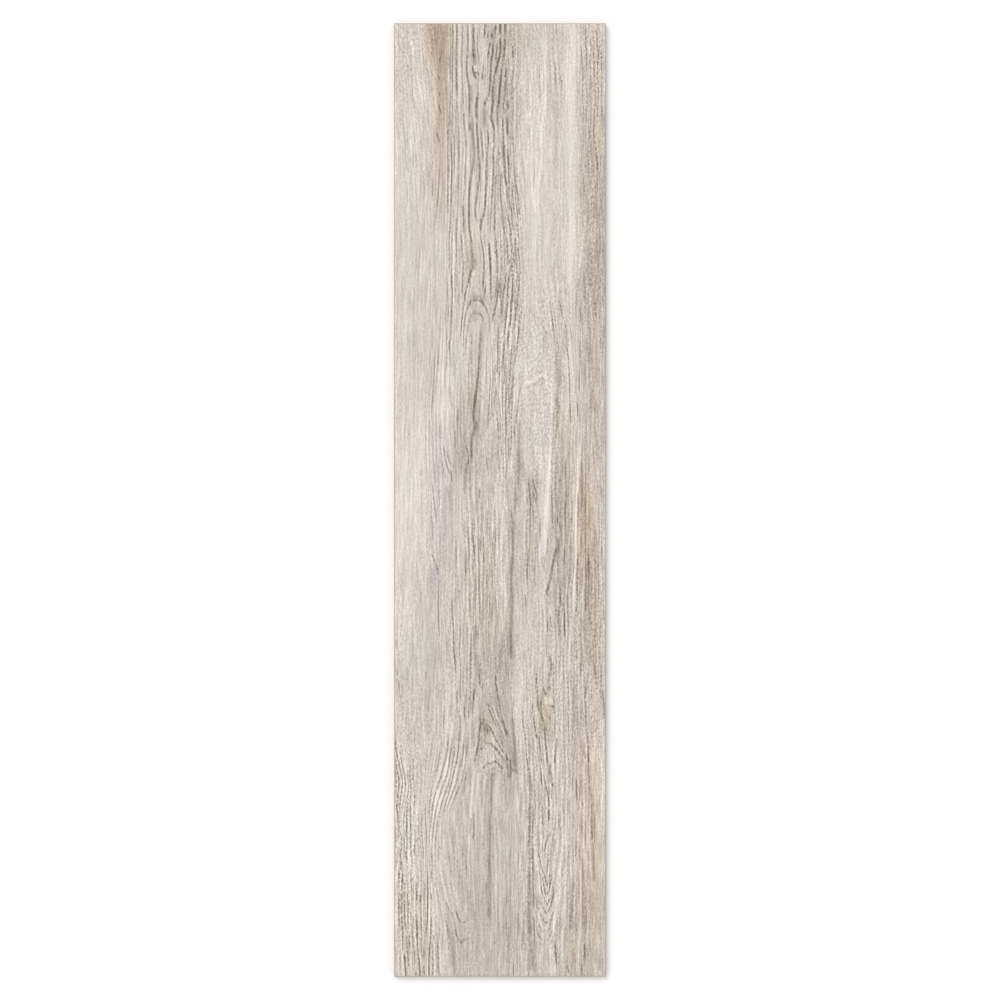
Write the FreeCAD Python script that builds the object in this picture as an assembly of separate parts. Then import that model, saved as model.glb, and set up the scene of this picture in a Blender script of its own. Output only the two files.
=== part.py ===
"""Wood look porcelain plank tile: one pressed, fired and ground slab.

Frame: +X across the plank, +Y along the grain, +Z out of the printed face.
The origin is the middle of the back, on the plane of the rib tops that the tile beds on.
All lengths are in millimetres.
"""
import FreeCAD
import Part

import math
import os

# The slab, as ground to size after firing
LENGTH = 900.0
WIDTH = 200.0
THICKNESS = 9.5

# The ground arrises: one round the printed face, a finer one round the back
FACE_ARRIS = 0.8
BACK_ARRIS = 0.4

# The back: a plain land round it, and ribs between square cells that the mortar keys into
LEAST_LAND = 10.0
RIB_WIDTH = 3.0
RIB_HEIGHT = 0.8
CELL_PITCH = 25.0
CELL_CORNER = 2.5
CELL_DRAFT_DEG = 35.0


def outline(half_width, half_length, corner, z):
    """A closed wire at height z: a rectangle round the Z axis, its corners clipped by corner if that isn't 0."""
    clipped = [
        (half_width, half_length - corner),
        (half_width - corner, half_length),
        (corner - half_width, half_length),
        (-half_width, half_length - corner),
        (-half_width, corner - half_length),
        (corner - half_width, -half_length),
        (half_width - corner, -half_length),
        (half_width, corner - half_length),
    ]
    chosen = clipped if corner else clipped[::2]
    points = [FreeCAD.Vector(x, y, z) for x, y in chosen]
    return Part.makePolygon(points + points[:1])


def slab():
    """The ground slab: square sides that run from the back arris up to the face arris."""
    inset_and_height = [
        (BACK_ARRIS, 0.0),
        (0.0, BACK_ARRIS),
        (0.0, THICKNESS - FACE_ARRIS),
        (FACE_ARRIS, THICKNESS),
    ]
    sections = [
        outline(WIDTH / 2 - inset, LENGTH / 2 - inset, 0.0, z)
        for inset, z in inset_and_height
    ]
    return Part.makeLoft(sections, True, True)


def cell():
    """One cell's space: a square frustum with clipped corners, widest at its mouth so that the punch lets go."""
    mouth = (CELL_PITCH - RIB_WIDTH) / 2
    floor = mouth - RIB_HEIGHT * math.tan(math.radians(CELL_DRAFT_DEG))
    sections = [
        outline(mouth, mouth, CELL_CORNER, 0.0),
        outline(floor, floor, CELL_CORNER, RIB_HEIGHT),
    ]
    return Part.makeLoft(sections, True, True)


def cell_middles(span):
    """Where the cells stand along a side: as many whole pitches as fit between the lands, centred."""
    room = span - 2 * LEAST_LAND + RIB_WIDTH
    count = int(room // CELL_PITCH)
    return [(i - (count - 1) / 2) * CELL_PITCH for i in range(count)]


def plank_tile():
    """The whole tile: the slab with the cells pressed into its back."""
    pattern = cell()
    cells = [
        pattern.translated(FreeCAD.Vector(x, y, 0.0))
        for x in cell_middles(WIDTH)
        for y in cell_middles(LENGTH)
    ]
    return slab().cut(Part.Compound(cells))


os.makedirs("parts", exist_ok=True)
tile = plank_tile()
tile.exportStep("parts/plank_tile.step")
print("plank_tile:", len(tile.Solids), "solid,", len(tile.Faces), "faces,", round(tile.Volume), "mm3")
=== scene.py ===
"""Wood look porcelain plank tile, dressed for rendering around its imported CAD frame.

The tile is one fired piece: a pressed porcelain body with ground edges, a matt glaze printed with pale oak
grain and lightly structured along it, and a ribbed back that still carries some kiln wash.

Axes are the frame's: +X across the plank, +Y along the grain, +Z out of the printed face, in metres. Places
on the printed face are given as a tiler measures them, in millimetres across from the left long edge and down
from the top end. Sizes of the tile and of its print are in millimetres too.
"""
import logging
import math
from dataclasses import dataclass, field
from enum import Enum
from typing import Any

import bpy
import numpy as np
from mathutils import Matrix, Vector


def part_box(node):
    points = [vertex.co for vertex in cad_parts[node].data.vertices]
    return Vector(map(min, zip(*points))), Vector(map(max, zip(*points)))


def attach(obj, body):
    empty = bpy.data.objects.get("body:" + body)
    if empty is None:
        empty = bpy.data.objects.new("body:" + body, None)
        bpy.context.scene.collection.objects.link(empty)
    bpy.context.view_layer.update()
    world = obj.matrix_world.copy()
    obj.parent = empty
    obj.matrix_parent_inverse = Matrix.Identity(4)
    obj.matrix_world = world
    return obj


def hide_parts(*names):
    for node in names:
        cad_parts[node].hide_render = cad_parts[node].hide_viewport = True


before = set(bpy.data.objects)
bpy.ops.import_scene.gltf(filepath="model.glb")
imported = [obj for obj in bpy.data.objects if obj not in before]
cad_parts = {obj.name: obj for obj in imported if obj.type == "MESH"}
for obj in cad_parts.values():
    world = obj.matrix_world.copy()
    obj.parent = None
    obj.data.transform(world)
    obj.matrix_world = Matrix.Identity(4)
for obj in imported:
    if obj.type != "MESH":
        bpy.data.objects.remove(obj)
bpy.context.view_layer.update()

MM = 0.001
NODE = "plank_tile"
BODY = "root"

log = logging.getLogger("plank_tile")

Point = tuple[float, float]
Range = tuple[float, float]

# The length that a wave texture repeats after, in its own units
WAVE = math.pi / 10


def linear(code: str) -> tuple[float, float, float, float]:
    """Turns an sRGB colour code into the linear colour that a shader socket takes.

    The standard's curve is a straight line near black and a power of 2.4 above it.

    Args:
        code: the colour as #RRGGBB.

    Returns:
        Linear red, green and blue, and an alpha of 1.
    """
    levels = [int(code[i:i + 2], 16) / 255 for i in (1, 3, 5)]
    red, green, blue = (v / 12.92 if v <= 0.04045 else ((v + 0.055) / 1.055) ** 2.4 for v in levels)
    return red, green, blue, 1.0


def add(tree: bpy.types.NodeTree, kind: str, inputs: dict[str | int, Any], **settings: Any) -> bpy.types.Node:
    """Adds a node with its settings, values and links.

    Args:
        tree: the node tree that gets the node.
        kind: the node's type name without "ShaderNode".
        inputs: a value or another node's output for each input socket, by the socket's name or number.
        settings: the node's own properties.

    Returns:
        The new node.
    """
    node = tree.nodes.new("ShaderNode" + kind)
    for name, value in settings.items():
        setattr(node, name, value)
    for key, value in inputs.items():
        if isinstance(value, bpy.types.NodeSocket):
            tree.links.new(value, node.inputs[key])
        else:
            node.inputs[key].default_value = value
    return node


def empty_material(name: str) -> bpy.types.Material:
    """Makes a material with an empty node tree.

    Args:
        name: the material's name.

    Returns:
        The material.
    """
    material = bpy.data.materials.new(name)
    material.use_nodes = True
    material.node_tree.nodes.clear()
    return material


def between(source: Range, target: Range = (0.0, 1.0)) -> dict[int, float]:
    """The values of a range node's sockets 1 to 4, which carry one range over to another."""
    return dict(enumerate(source + target, 1))


def smooth_noise(u: np.ndarray, v: np.ndarray, seed: int) -> np.ndarray:
    """Soft random hills about one unit wide, from -1 to 1.

    A lattice of seeded random heights is blended between its four nearest points, with weights eased by
    3t2 - 2t3.

    Args:
        u: first coordinate of each point, in units of one hill.
        v: second coordinate of each point, in units of one hill.
        seed: picks the lattice.

    Returns:
        The height at each point.
    """
    u = u - u.min()
    v = v - v.min()
    heights = np.random.default_rng(seed).uniform(-1, 1, (int(u.max()) + 2, int(v.max()) + 2))
    i = u.astype(int)
    j = v.astype(int)
    s = u - i
    t = v - j
    s = s * s * (3 - 2 * s)
    t = t * t * (3 - 2 * t)
    near = heights[i, j] * (1 - s) + heights[i + 1, j] * s
    far = heights[i, j + 1] * (1 - s) + heights[i + 1, j + 1] * s
    return near * (1 - t) + far * t


def smooth_path(points: np.ndarray, steps: int = 6) -> np.ndarray:
    """A Catmull-Rom curve: each span is the cubic that its two ends and their two neighbours give.

    Args:
        points: the points that the curve goes through, one row each.
        steps: how many points each span gets.

    Returns:
        The points of the curve, one row each.
    """
    ahead = 2 * points[:1] - points[1:2]
    behind = 2 * points[-1:] - points[-2:-1]
    padded = np.concatenate([ahead, points, behind])
    p0, p1, p2, p3 = (padded[k:len(padded) - 3 + k, None] for k in range(4))
    t = np.linspace(0, 1, steps, endpoint=False)[None, :, None]
    cubic = (3 * (p1 - p2) + p3 - p0) * t + 2 * p0 - 5 * p1 + 4 * p2 - p3
    spans = p1 + 0.5 * t * (p2 - p0 + t * cubic)
    return np.concatenate([spans.reshape(-1, 2), points[-1:]])


class Layer(Enum):
    """What a soft patch of the print changes."""

    INK = "ink"
    WARM = "warm"
    COOL = "cool"
    FIBRE = "fibre"
    STIPPLE = "stipple"
    RINGS = "rings"
    SAW = "saw"


class Ink(Enum):
    """Which way a drawn line of the print goes from the tone round it."""

    DARK = "dark"
    PALE = "pale"
    SHADE = "shade"


@dataclass(frozen=True)
class Patch:
    """A soft-edged oval of the print, long with the grain.

    Attributes:
        layer: what it changes.
        amount: by how much, at its middle.
        across: its middle, across from the left edge.
        down: its middle, down from the top end.
        half_width: half its width, where it has faded to about a third.
        half_length: half its length, likewise.
    """

    layer: Layer
    amount: float
    across: float
    down: float
    half_width: float
    half_length: float

    def cover(self, across: np.ndarray, down: np.ndarray) -> np.ndarray:
        """How much of the patch lies on each point: e to the minus its cubed distances in half sizes.

        Args:
            across: the points' places across.
            down: the points' places down.

        Returns:
            The cover, from 0 to 1.
        """
        u = np.abs(across - self.across) / self.half_width
        v = np.abs(down - self.down) / self.half_length
        return np.exp(-u ** 3 - v ** 3)


@dataclass(frozen=True)
class GrainLine:
    """One drawn line of the grain.

    Attributes:
        ink: whether it is a crisp dark line, a pale one or a soft shade.
        width: its width in the middle of its run.
        depth: how strong it is, 1 for the strongest.
        points: the points that it goes through, across and down.
    """

    ink: Ink
    width: float
    depth: float
    points: tuple[Point, ...]


def strokes(ink: Ink, *rows: tuple[float, ...]) -> tuple[GrainLine, ...]:
    """Grain lines of one ink.

    Args:
        ink: the ink that they share.
        rows: one for each line: its width, its depth in per cent, then each point's place across and down.

    Returns:
        The lines.
    """
    return tuple(GrainLine(ink, row[0], row[1] / 100, tuple(zip(row[2::2], row[3::2]))) for row in rows)


@dataclass(frozen=True)
class Fan:
    """Like dark lines spread evenly from a first guide to a last one, as growth lines run side by side.

    Each wavers as a sine of its place down, is a little stronger or fainter than the next, and starts and
    ends a little apart from it. Its own angle, one turn further for each line, gives by how much.

    Attributes:
        count: how many lines.
        width: their width.
        depth: how strong they are.
        first: the points of the first guide.
        last: as many points of the last guide.
        turn: the angle from one line to the next, in radians.
        cut: the largest share of a line that is left off at an end.
        waver: how far a line wavers to each side.
        wave: how far down it goes while its waver turns by a radian.
        mean: the middle of their strengths, as a share of the depth.
        swing: how far their strengths go from it.
    """

    count: int
    width: float
    depth: float
    first: tuple[Point, ...]
    last: tuple[Point, ...]
    turn: float = 2.4
    cut: float = 0.2
    waver: float = 0.4
    wave: float = 6.0
    mean: float = 0.85
    swing: float = 0.3

    def lines(self) -> list[GrainLine]:
        """Works the lines out.

        Returns:
            The lines, from the first guide to the last.
        """
        lines = []
        first, last = np.array(self.first, float), np.array(self.last, float)
        for number, share in enumerate(np.linspace(0, 1, self.count)):
            path = smooth_path(first * (1 - share) + last * share)
            angle = self.turn * number
            late, early = (int(self.cut * len(path) * abs(math.sin(angle + end))) for end in (1, 2))
            path = path[late:len(path) - early]
            path[:, 0] += self.waver * np.sin(path[:, 1] / self.wave + angle)
            strength = self.depth * (self.mean + self.swing * math.cos(2 * angle))
            lines.append(GrainLine(Ink.DARK, self.width, strength, tuple(map(tuple, path.tolist()))))
        return lines


# Long, nearly straight growth lines of the heart, from the top end down to the cathedral arch
HEART_LINES = strokes(
    Ink.DARK,
    (1.1, 55, 53, -2, 53.5, 20, 53, 45, 53.5, 70, 52.3, 84, 53, 100), (0.9, 55, 55.6, -2, 55.2, 60, 56, 100),
    (2.1, 70, 59.8, -2, 58.8, 56), (2.4, 70, 58.8, 54, 59, 70), (1.9, 64, 59, 68, 61.5, 118, 60.5, 168),
    (1.3, 34, 60.5, 163, 60, 182, 58.8, 195, 59.6, 246, 61, 272), (1.4, 55, 65, -2, 64.1, 34, 65.8, 84),
    (1.8, 70, 65.8, 82, 66.4, 96, 67.4, 106, 67.6, 118), (1.3, 58, 67.6, 118, 67.5, 130, 65.2, 175),
    (1.7, 84, 65.2, 172, 65.2, 180, 65.8, 186, 65, 200),
    (2.0, 84, 69.7, -2, 69.5, 20, 68.7, 41, 69.2, 50, 71.2, 66, 71.3, 94), (2.4, 84, 71.3, 95, 71.5, 102),
    (2.4, 84, 74.9, -2, 74.7, 24, 75.2, 34), (1.3, 58, 78.4, 8, 78.6, 20, 80.1, 38),
    (1.4, 55, 79.4, 52, 79.1, 60, 79.6, 67, 79, 73), (2.4, 84, 78.8, 71, 77.7, 76, 77.8, 93),
    (1.9, 84, 77.7, 91, 78.4, 104, 81, 136, 80.6, 144, 81, 151), (2.0, 84, 86.4, -2, 86, 6, 84.9, 14),
    (1.8, 81, 88.4, 10, 88.7, 13), (1.7, 76, 91.6, 16, 89.1, 27, 88.2, 33),
    (1.9, 84, 93.6, 17, 93.1, 26, 91.2, 40, 91.4, 45, 89.6, 66, 88.4, 70.4, 86.4, 74, 85.4, 78),
    (2.4, 84, 85.8, 74.6, 85.4, 78.4), (1.5, 70, 97.2, 21, 96.2, 35), (2.2, 84, 100.4, -2, 99.8, 10),
    (1.9, 84, 99.6, 14, 100.5, 20, 100.7, 26, 100, 31, 97.2, 39, 95.2, 50),
    (2.0, 84, 94.2, 47, 94.4, 56, 93.3, 68, 93.7, 73, 92.3, 84, 91.2, 88.5, 91.4, 91, 93, 94.4, 94.4, 99,
     94.8, 105),
    (2.4, 84, 101.3, 40, 99.5, 70, 99, 75.6, 97.8, 80), (2.1, 68, 105.3, -2, 104.9, 9.6),
    (1.8, 50, 104.4, 13, 104.4, 22, 103, 38), (1.2, 46, 104.6, 54, 105.1, 62, 103.3, 77, 104.2, 85),
    (1.6, 67, 103.2, 89, 102.8, 96, 103.1, 103), (1.8, 67, 105.6, 42, 105.5, 47, 104.6, 52),
    (1.7, 61, 107.8, 73, 107.2, 83), (1.8, 67, 106.9, 88, 106.8, 96, 107.3, 107), (1.5, 64, 112, 21, 112, 34),
    (1.2, 65, 113.4, 60, 113, 68), (1.1, 58, 50.8, 96, 50.8, 182),
    (1.4, 84, 53, 100, 54.3, 128, 54.2, 146, 52.8, 190, 52, 203, 52.4, 222, 51.8, 240),
    (1.1, 64, 56, 100, 57, 114, 57, 148), (1.1, 58, 56, 172, 56, 188, 55, 202, 54.6, 216),
    (1.4, 70, 54, 232, 55, 250, 54.8, 264, 53.6, 294, 52.2, 303, 52, 311),
    (2.0, 84, 74.8, 128, 71.4, 157, 70.9, 168, 70.6, 192, 71.8, 202), (0.9, 55, 75.2, 130, 76, 142),
    (1.5, 81, 82, 99, 84, 130), (1.8, 76, 78.4, 148, 79, 158, 78.3, 167, 77.2, 174, 77.2, 181, 78.8, 189),
    (1.5, 84, 88.2, 99, 89, 108, 88.8, 116, 87.8, 124, 87.2, 136),
    (2.0, 84, 87.4, 132, 87, 142, 87.2, 150, 86.3, 168, 85.2, 178, 83.8, 186),
    (2.4, 84, 82, 182, 82, 190, 81.3, 198),
    (2.0, 84, 94.7, 104, 94.3, 112, 95.2, 115, 94.2, 118.6, 93.6, 125, 94, 140, 89.8, 210),
    (1.5, 84, 96, 144, 95.5, 154, 95, 188, 95.2, 200), (1.3, 58, 98.6, 138, 98, 160, 98, 176),
    (1.5, 84, 63.4, 198, 65, 224, 65, 236, 64, 258), (1.5, 84, 81.3, 198, 84.6, 220, 85, 228, 84, 251),
    (1.3, 70, 86, 249, 85.4, 255, 84.4, 260), (1.9, 84, 89.8, 206, 90.2, 217, 91, 226, 91.2, 246, 92, 264),
    (1.8, 84, 95.6, 200, 96.4, 220), (1.5, 55, 96.8, 222, 97, 236),
    (1.7, 84, 99.6, 240, 96.8, 263, 94, 275, 93, 282),
) + strokes(
    Ink.SHADE,
    (2.7, 55, 72.4, 58, 73.5, 66, 73.2, 76), (3.8, 79, 75, 27, 76.2, 40),
    (4.0, 67, 85.6, 80, 85.4, 89, 86.2, 99), (2.3, 55, 97.6, 80, 97.2, 88, 98.2, 97),
    (2.9, 90, 73.4, 89, 75.2, 118, 75.4, 126, 74.6, 132),
)

# Slanting dashes right of the heart
HEART_DASHES = strokes(
    Ink.DARK,
    (1.2, 48, 103.1, 103, 103.4, 114), (2.0, 59, 103.2, 113, 104.1, 137),
    (1.2, 62, 108.4, 122, 107.9, 129, 108.5, 139), (1.1, 57, 110, 121, 110.9, 138, 110.6, 145),
    (1.5, 53, 99.6, 120, 99.9, 131), (2.0, 70, 100.6, 140, 100.5, 154), (1.5, 67, 104, 142, 106.2, 153),
    (1.1, 67, 112, 149, 113, 158), (1.3, 78, 114.8, 151, 117.3, 166, 118.5, 182),
    (1.6, 70, 107.3, 159, 109.8, 177), (1.4, 78, 111.8, 157, 112.4, 166), (1.1, 62, 112.6, 167, 114.8, 185),
    (1.1, 67, 103.4, 165, 111, 201), (1.7, 70, 110.8, 184, 112.7, 197), (1.3, 84, 115.4, 187, 117.6, 203),
    (1.2, 73, 98.4, 185, 101, 201), (1.0, 56, 101, 178, 105, 201), (1.7, 70, 101.3, 203, 101.5, 236),
    (1.6, 69, 105.8, 199, 107.4, 218, 107.4, 229), (1.3, 77, 105.6, 236, 104.2, 252),
    (1.7, 63, 101.6, 260, 101, 276), (1.1, 50, 103.4, 250, 102.6, 260),
    (1.1, 59, 107.6, 258, 106.6, 272, 103.8, 296), (1.7, 59, 112, 207, 111.2, 234),
    (1.6, 70, 114.6, 202, 114.7, 213, 114, 228), (1.2, 68, 117, 211, 118.3, 222, 118.8, 232),
    (1.4, 72, 118, 236, 117.7, 254, 113.4, 289), (2.0, 63, 112, 255, 112.6, 264),
    (1.3, 63, 111, 268, 109.5, 286), (1.2, 59, 118.6, 276, 116.8, 300), (1.0, 45, 120, 260, 120.2, 277),
    (2.0, 66, 107.8, 293, 107.2, 299), (1.7, 66, 103.6, 299, 103.4, 307, 101, 330),
    (2.0, 63, 107.6, 299, 107, 306), (1.3, 72, 106.6, 308, 104.4, 336, 103.4, 342),
    (1.2, 63, 111.6, 300, 108.4, 336, 104.4, 364), (1.4, 72, 116.8, 298, 114.4, 321),
    (1.7, 63, 113.6, 329, 111.5, 345, 107.6, 364, 106.4, 372), (1.2, 72, 118.8, 344, 115, 378),
    (1.2, 63, 106, 370, 105.4, 379), (1.4, 63, 113.6, 381, 113.4, 391),
) + strokes(
    Ink.SHADE,
    (3.1, 61, 118.3, 376, 117.9, 388, 118.2, 400), (3.4, 69, 118.4, 398, 117, 438),
) + strokes(
    Ink.PALE,
    (1.2, 68, 103, 145, 105.4, 163), (1.2, 68, 102.4, 164, 104.6, 176, 110, 200),
)

# The cathedral arch, the fork below it and the long dark run that leaves its right leg
ARCHES = strokes(
    Ink.DARK,
    (1.4, 45, 73.4, 262.8, 76, 261.6, 79, 261.2, 82, 262.4),
    (1.5, 65, 66, 292, 67.2, 277, 68.6, 271, 70.6, 266, 73, 263),
    (1.9, 80, 81.8, 262, 84.6, 265.6, 86.8, 269.4, 88.4, 274), (1.1, 40, 89, 274, 89.8, 283, 90, 293),
    (1.9, 85, 82.6, 275.6, 83.6, 278.6, 83.8, 283), (0.8, 35, 73.8, 279, 73, 306),
    (0.8, 30, 79.6, 279, 79, 306), (1.1, 60, 71, 280, 68.8, 293, 67.8, 302, 67.8, 311),
    (1.0, 55, 66.6, 262, 64.2, 278, 63, 297), (1.0, 55, 66.2, 288, 65, 304), (0.8, 35, 76.4, 277, 76.6, 308),
    (1.5, 44, 73.6, 310, 73.6, 322), (1.3, 70, 98.6, 284, 98, 312, 97, 332),
    (2.8, 34, 82.2, 290, 80.8, 308, 80.5, 320, 79.6, 334), (2.0, 62, 79.6, 326, 77.8, 346, 75.2, 364),
    (2.0, 44, 75.4, 362, 75, 370, 75.6, 378), (2.0, 50, 78.8, 374, 77.4, 379, 75.4, 383, 74.4, 389),
    (1.8, 22, 74.2, 386, 72.8, 402, 73.4, 409), (1.6, 41, 78.4, 399, 78.6, 410),
    (1.4, 55, 68.6, 400, 70, 408, 70, 417), (1.1, 44, 71.6, 422, 72.2, 448), (1.2, 47, 91.4, 333, 88, 384),
    (1.1, 41, 95.2, 345, 94, 372), (2.4, 80, 69, 391.4, 69, 395), (2.2, 38, 60.6, 362, 59.6, 379),
) + strokes(
    Ink.SHADE,
    (4.6, 65, 69.6, 267, 72.4, 262.4, 76, 259.4, 79, 258.9, 82, 260.2, 85.2, 264.6),
    (3.8, 85, 80.8, 296, 80.6, 310, 79.6, 326, 78.2, 344, 76, 358, 75, 372, 76.6, 382, 74.4, 390),
    (3.4, 55, 74.6, 384, 73, 396, 73.2, 412),
    (2.6, 55, 70.8, 284, 71.4, 278.6, 73.6, 274.8, 77, 273.4, 80.6, 274.2, 83, 277),
    (3.2, 85, 83.4, 282, 81.4, 302), (2.9, 81, 80.6, 298, 80.8, 310, 79, 336),
    (2.6, 75, 70, 414, 68, 422, 67.6, 434, 67, 441),
)

# A resin check in the heart, drawn brown
RESIN_CHECK = strokes(
    Ink.DARK,
    (1.5, 98, 71.2, 194, 73.2, 206), (2.3, 98, 72.8, 232, 70.4, 246),
    (1.4, 100, 69.8, 246, 67.3, 256, 66.8, 263),
) + strokes(
    Ink.SHADE,
    (3.2, 72, 72.8, 203, 74, 220), (4.2, 100, 73.8, 216, 75, 234), (2.4, 65, 76.2, 221, 76.6, 232),
) + strokes(
    Ink.PALE,
    (2.0, 100, 74.6, 235, 74.3, 239), (2.0, 100, 73.5, 239.5, 73, 243.5),
)

# The small knot near the top end
SMALL_KNOT = strokes(
    Ink.DARK,
    (1.4, 86, 74, 40, 74.4, 45, 75.8, 49.4, 78, 52.6), (1.2, 80, 79.4, 45.6, 79.8, 50),
    (1.2, 86, 76, 46, 77.4, 47.2, 78.6, 46.6), (1.3, 69, 84, 38, 84.2, 44, 83.2, 48, 83.8, 54),
    (2.0, 69, 96.2, 2.4, 95, 6.4), (2.2, 86, 92.6, 10, 92.2, 14.6),
) + strokes(
    Ink.SHADE,
    (5.0, 52, 74.6, 42, 75.8, 48, 79, 51.6), (3.2, 46, 84.4, 48, 82.8, 53.6), (5.4, 57, 95.8, 2, 92.8, 15),
) + strokes(
    Ink.PALE,
    (2.6, 100, 75.8, 41, 76.4, 44), (1.4, 80, 77.4, 44.6, 78, 45.8),
)

# Lines of the quiet left side and of the forked, greyish tongue beside it
LEFT_LINES = strokes(
    Ink.DARK,
    (0.9, 45, 43.4, 286, 43.2, 302, 41.8, 314, 38.2, 366), (1.0, 60, 39.4, 306, 38, 318, 37.8, 330, 35, 377),
    (1.3, 50, 36, 30, 36.4, 32), (1.0, 50, 34, 45, 36, 47.4, 38, 51), (1.5, 25, 46.8, 23, 44.8, 28, 42.6, 38),
    (1.2, 50, 42, 50, 43, 53), (1.2, 60, 42.6, 67, 44, 69), (1.4, 65, 42, 77, 44.2, 84),
    (1.2, 50, 39.8, 102, 43.6, 115), (1.1, 55, 42, 136, 42.4, 145, 42, 158, 40.8, 175),
    (0.8, 45, 36.4, 120, 36.4, 168), (1.4, 70, 30.4, 388, 30, 392), (1.6, 45, 57.6, 384, 57.4, 402),
    (1.0, 60, 40, 400, 40, 411), (1.3, 75, 46.6, 398, 47.6, 407, 49, 414, 52.8, 426),
    (1.2, 42, 48.6, 402, 51.4, 411, 54, 416.4, 57, 418), (1.2, 70, 52.4, 422, 54.2, 426, 54.4, 432),
    (1.1, 45, 54.2, 428, 55.4, 423), (1.1, 65, 45, 413, 46.6, 422, 49, 431),
    (1.6, 65, 22.4, 423.6, 24, 424.2), (1.1, 65, 36.2, 434, 37.8, 453, 40.2, 469),
    (1.0, 60, 35, 454, 36.6, 487), (0.8, 45, 41.2, 438, 42.6, 449),
    (1.3, 55, 35.8, 500, 37.4, 506, 40.8, 514.6, 42, 522), (1.2, 60, 42.4, 524, 41.8, 557, 43, 579),
    (1.3, 75, 54.5, 541, 55, 558, 55.9, 566, 56.3, 590, 57.3, 600, 57.8, 614),
    (1.2, 55, 8.4, 558, 7.6, 566, 5, 581), (1.4, 75, 3.2, 610, 3.2, 614), (1.6, 85, 4.6, 621, 4.8, 625),
    (1.0, 70, 5, 625, 6, 638), (1.4, 70, 7.4, 624, 7.6, 628), (1.2, 70, 30.2, 611, 30.4, 618),
    (0.8, 45, 32.6, 643, 31.2, 654, 32.2, 664), (0.9, 45, 47.6, 643, 46.4, 668),
) + strokes(
    Ink.SHADE,
    (3.3, 45, 43, 378, 43, 396), (3.3, 68, 51.2, 438, 52, 448), (3.3, 81, 25.2, 423, 25.4, 426),
    (2.8, 81, 1.4, 576, 1.4, 579), (2.8, 90, 1.4, 584, 1.4, 590), (2.7, 77, 4, 603.5, 4, 606.5),
) + strokes(
    Ink.PALE,
    (1.4, 55, 17, 16, 22, 50, 30, 90, 37, 118), (1.2, 45, 25, 40, 31, 66, 38, 98),
    (1.2, 40, 9, 26, 15, 70, 23, 120), (1.1, 40, 29, 6, 32, 34, 37, 60),
)

# Straight dashes of the middle of the plank
MIDDLE_DASHES = strokes(
    Ink.DARK,
    (1.5, 52, 73.5, 470, 74.5, 487, 76.2, 501), (1.2, 41, 66, 480, 68.5, 509, 68, 520),
    (1.2, 35, 77.4, 474, 78.2, 486), (1.2, 33, 81.6, 488, 81.8, 501), (1.8, 73, 80.6, 438, 80.8, 447),
    (1.2, 55, 87.4, 408, 87.9, 422), (1.1, 47, 84.4, 461, 85, 470, 84.6, 490, 85.4, 499),
    (1.2, 51, 88.5, 464, 88.6, 480), (1.0, 40, 94, 476, 93.4, 489),
    (1.2, 41, 76.8, 499, 76.5, 508, 77, 513, 78.2, 518), (1.0, 30, 72.8, 496, 73.2, 509),
    (1.0, 44, 84.5, 499, 84, 526, 84.3, 539), (1.2, 51, 92.4, 499, 92.6, 534),
    (1.0, 40, 74.8, 556, 75.4, 592), (1.2, 44, 102.4, 376, 102.6, 380), (1.4, 59, 59.6, 628, 59.6, 642),
    (1.2, 64, 62.5, 653, 62.4, 678), (1.3, 68, 61.2, 680, 59, 701), (1.3, 68, 66, 643, 66.5, 657),
    (1.1, 51, 70, 648, 70, 657),
)

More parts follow.
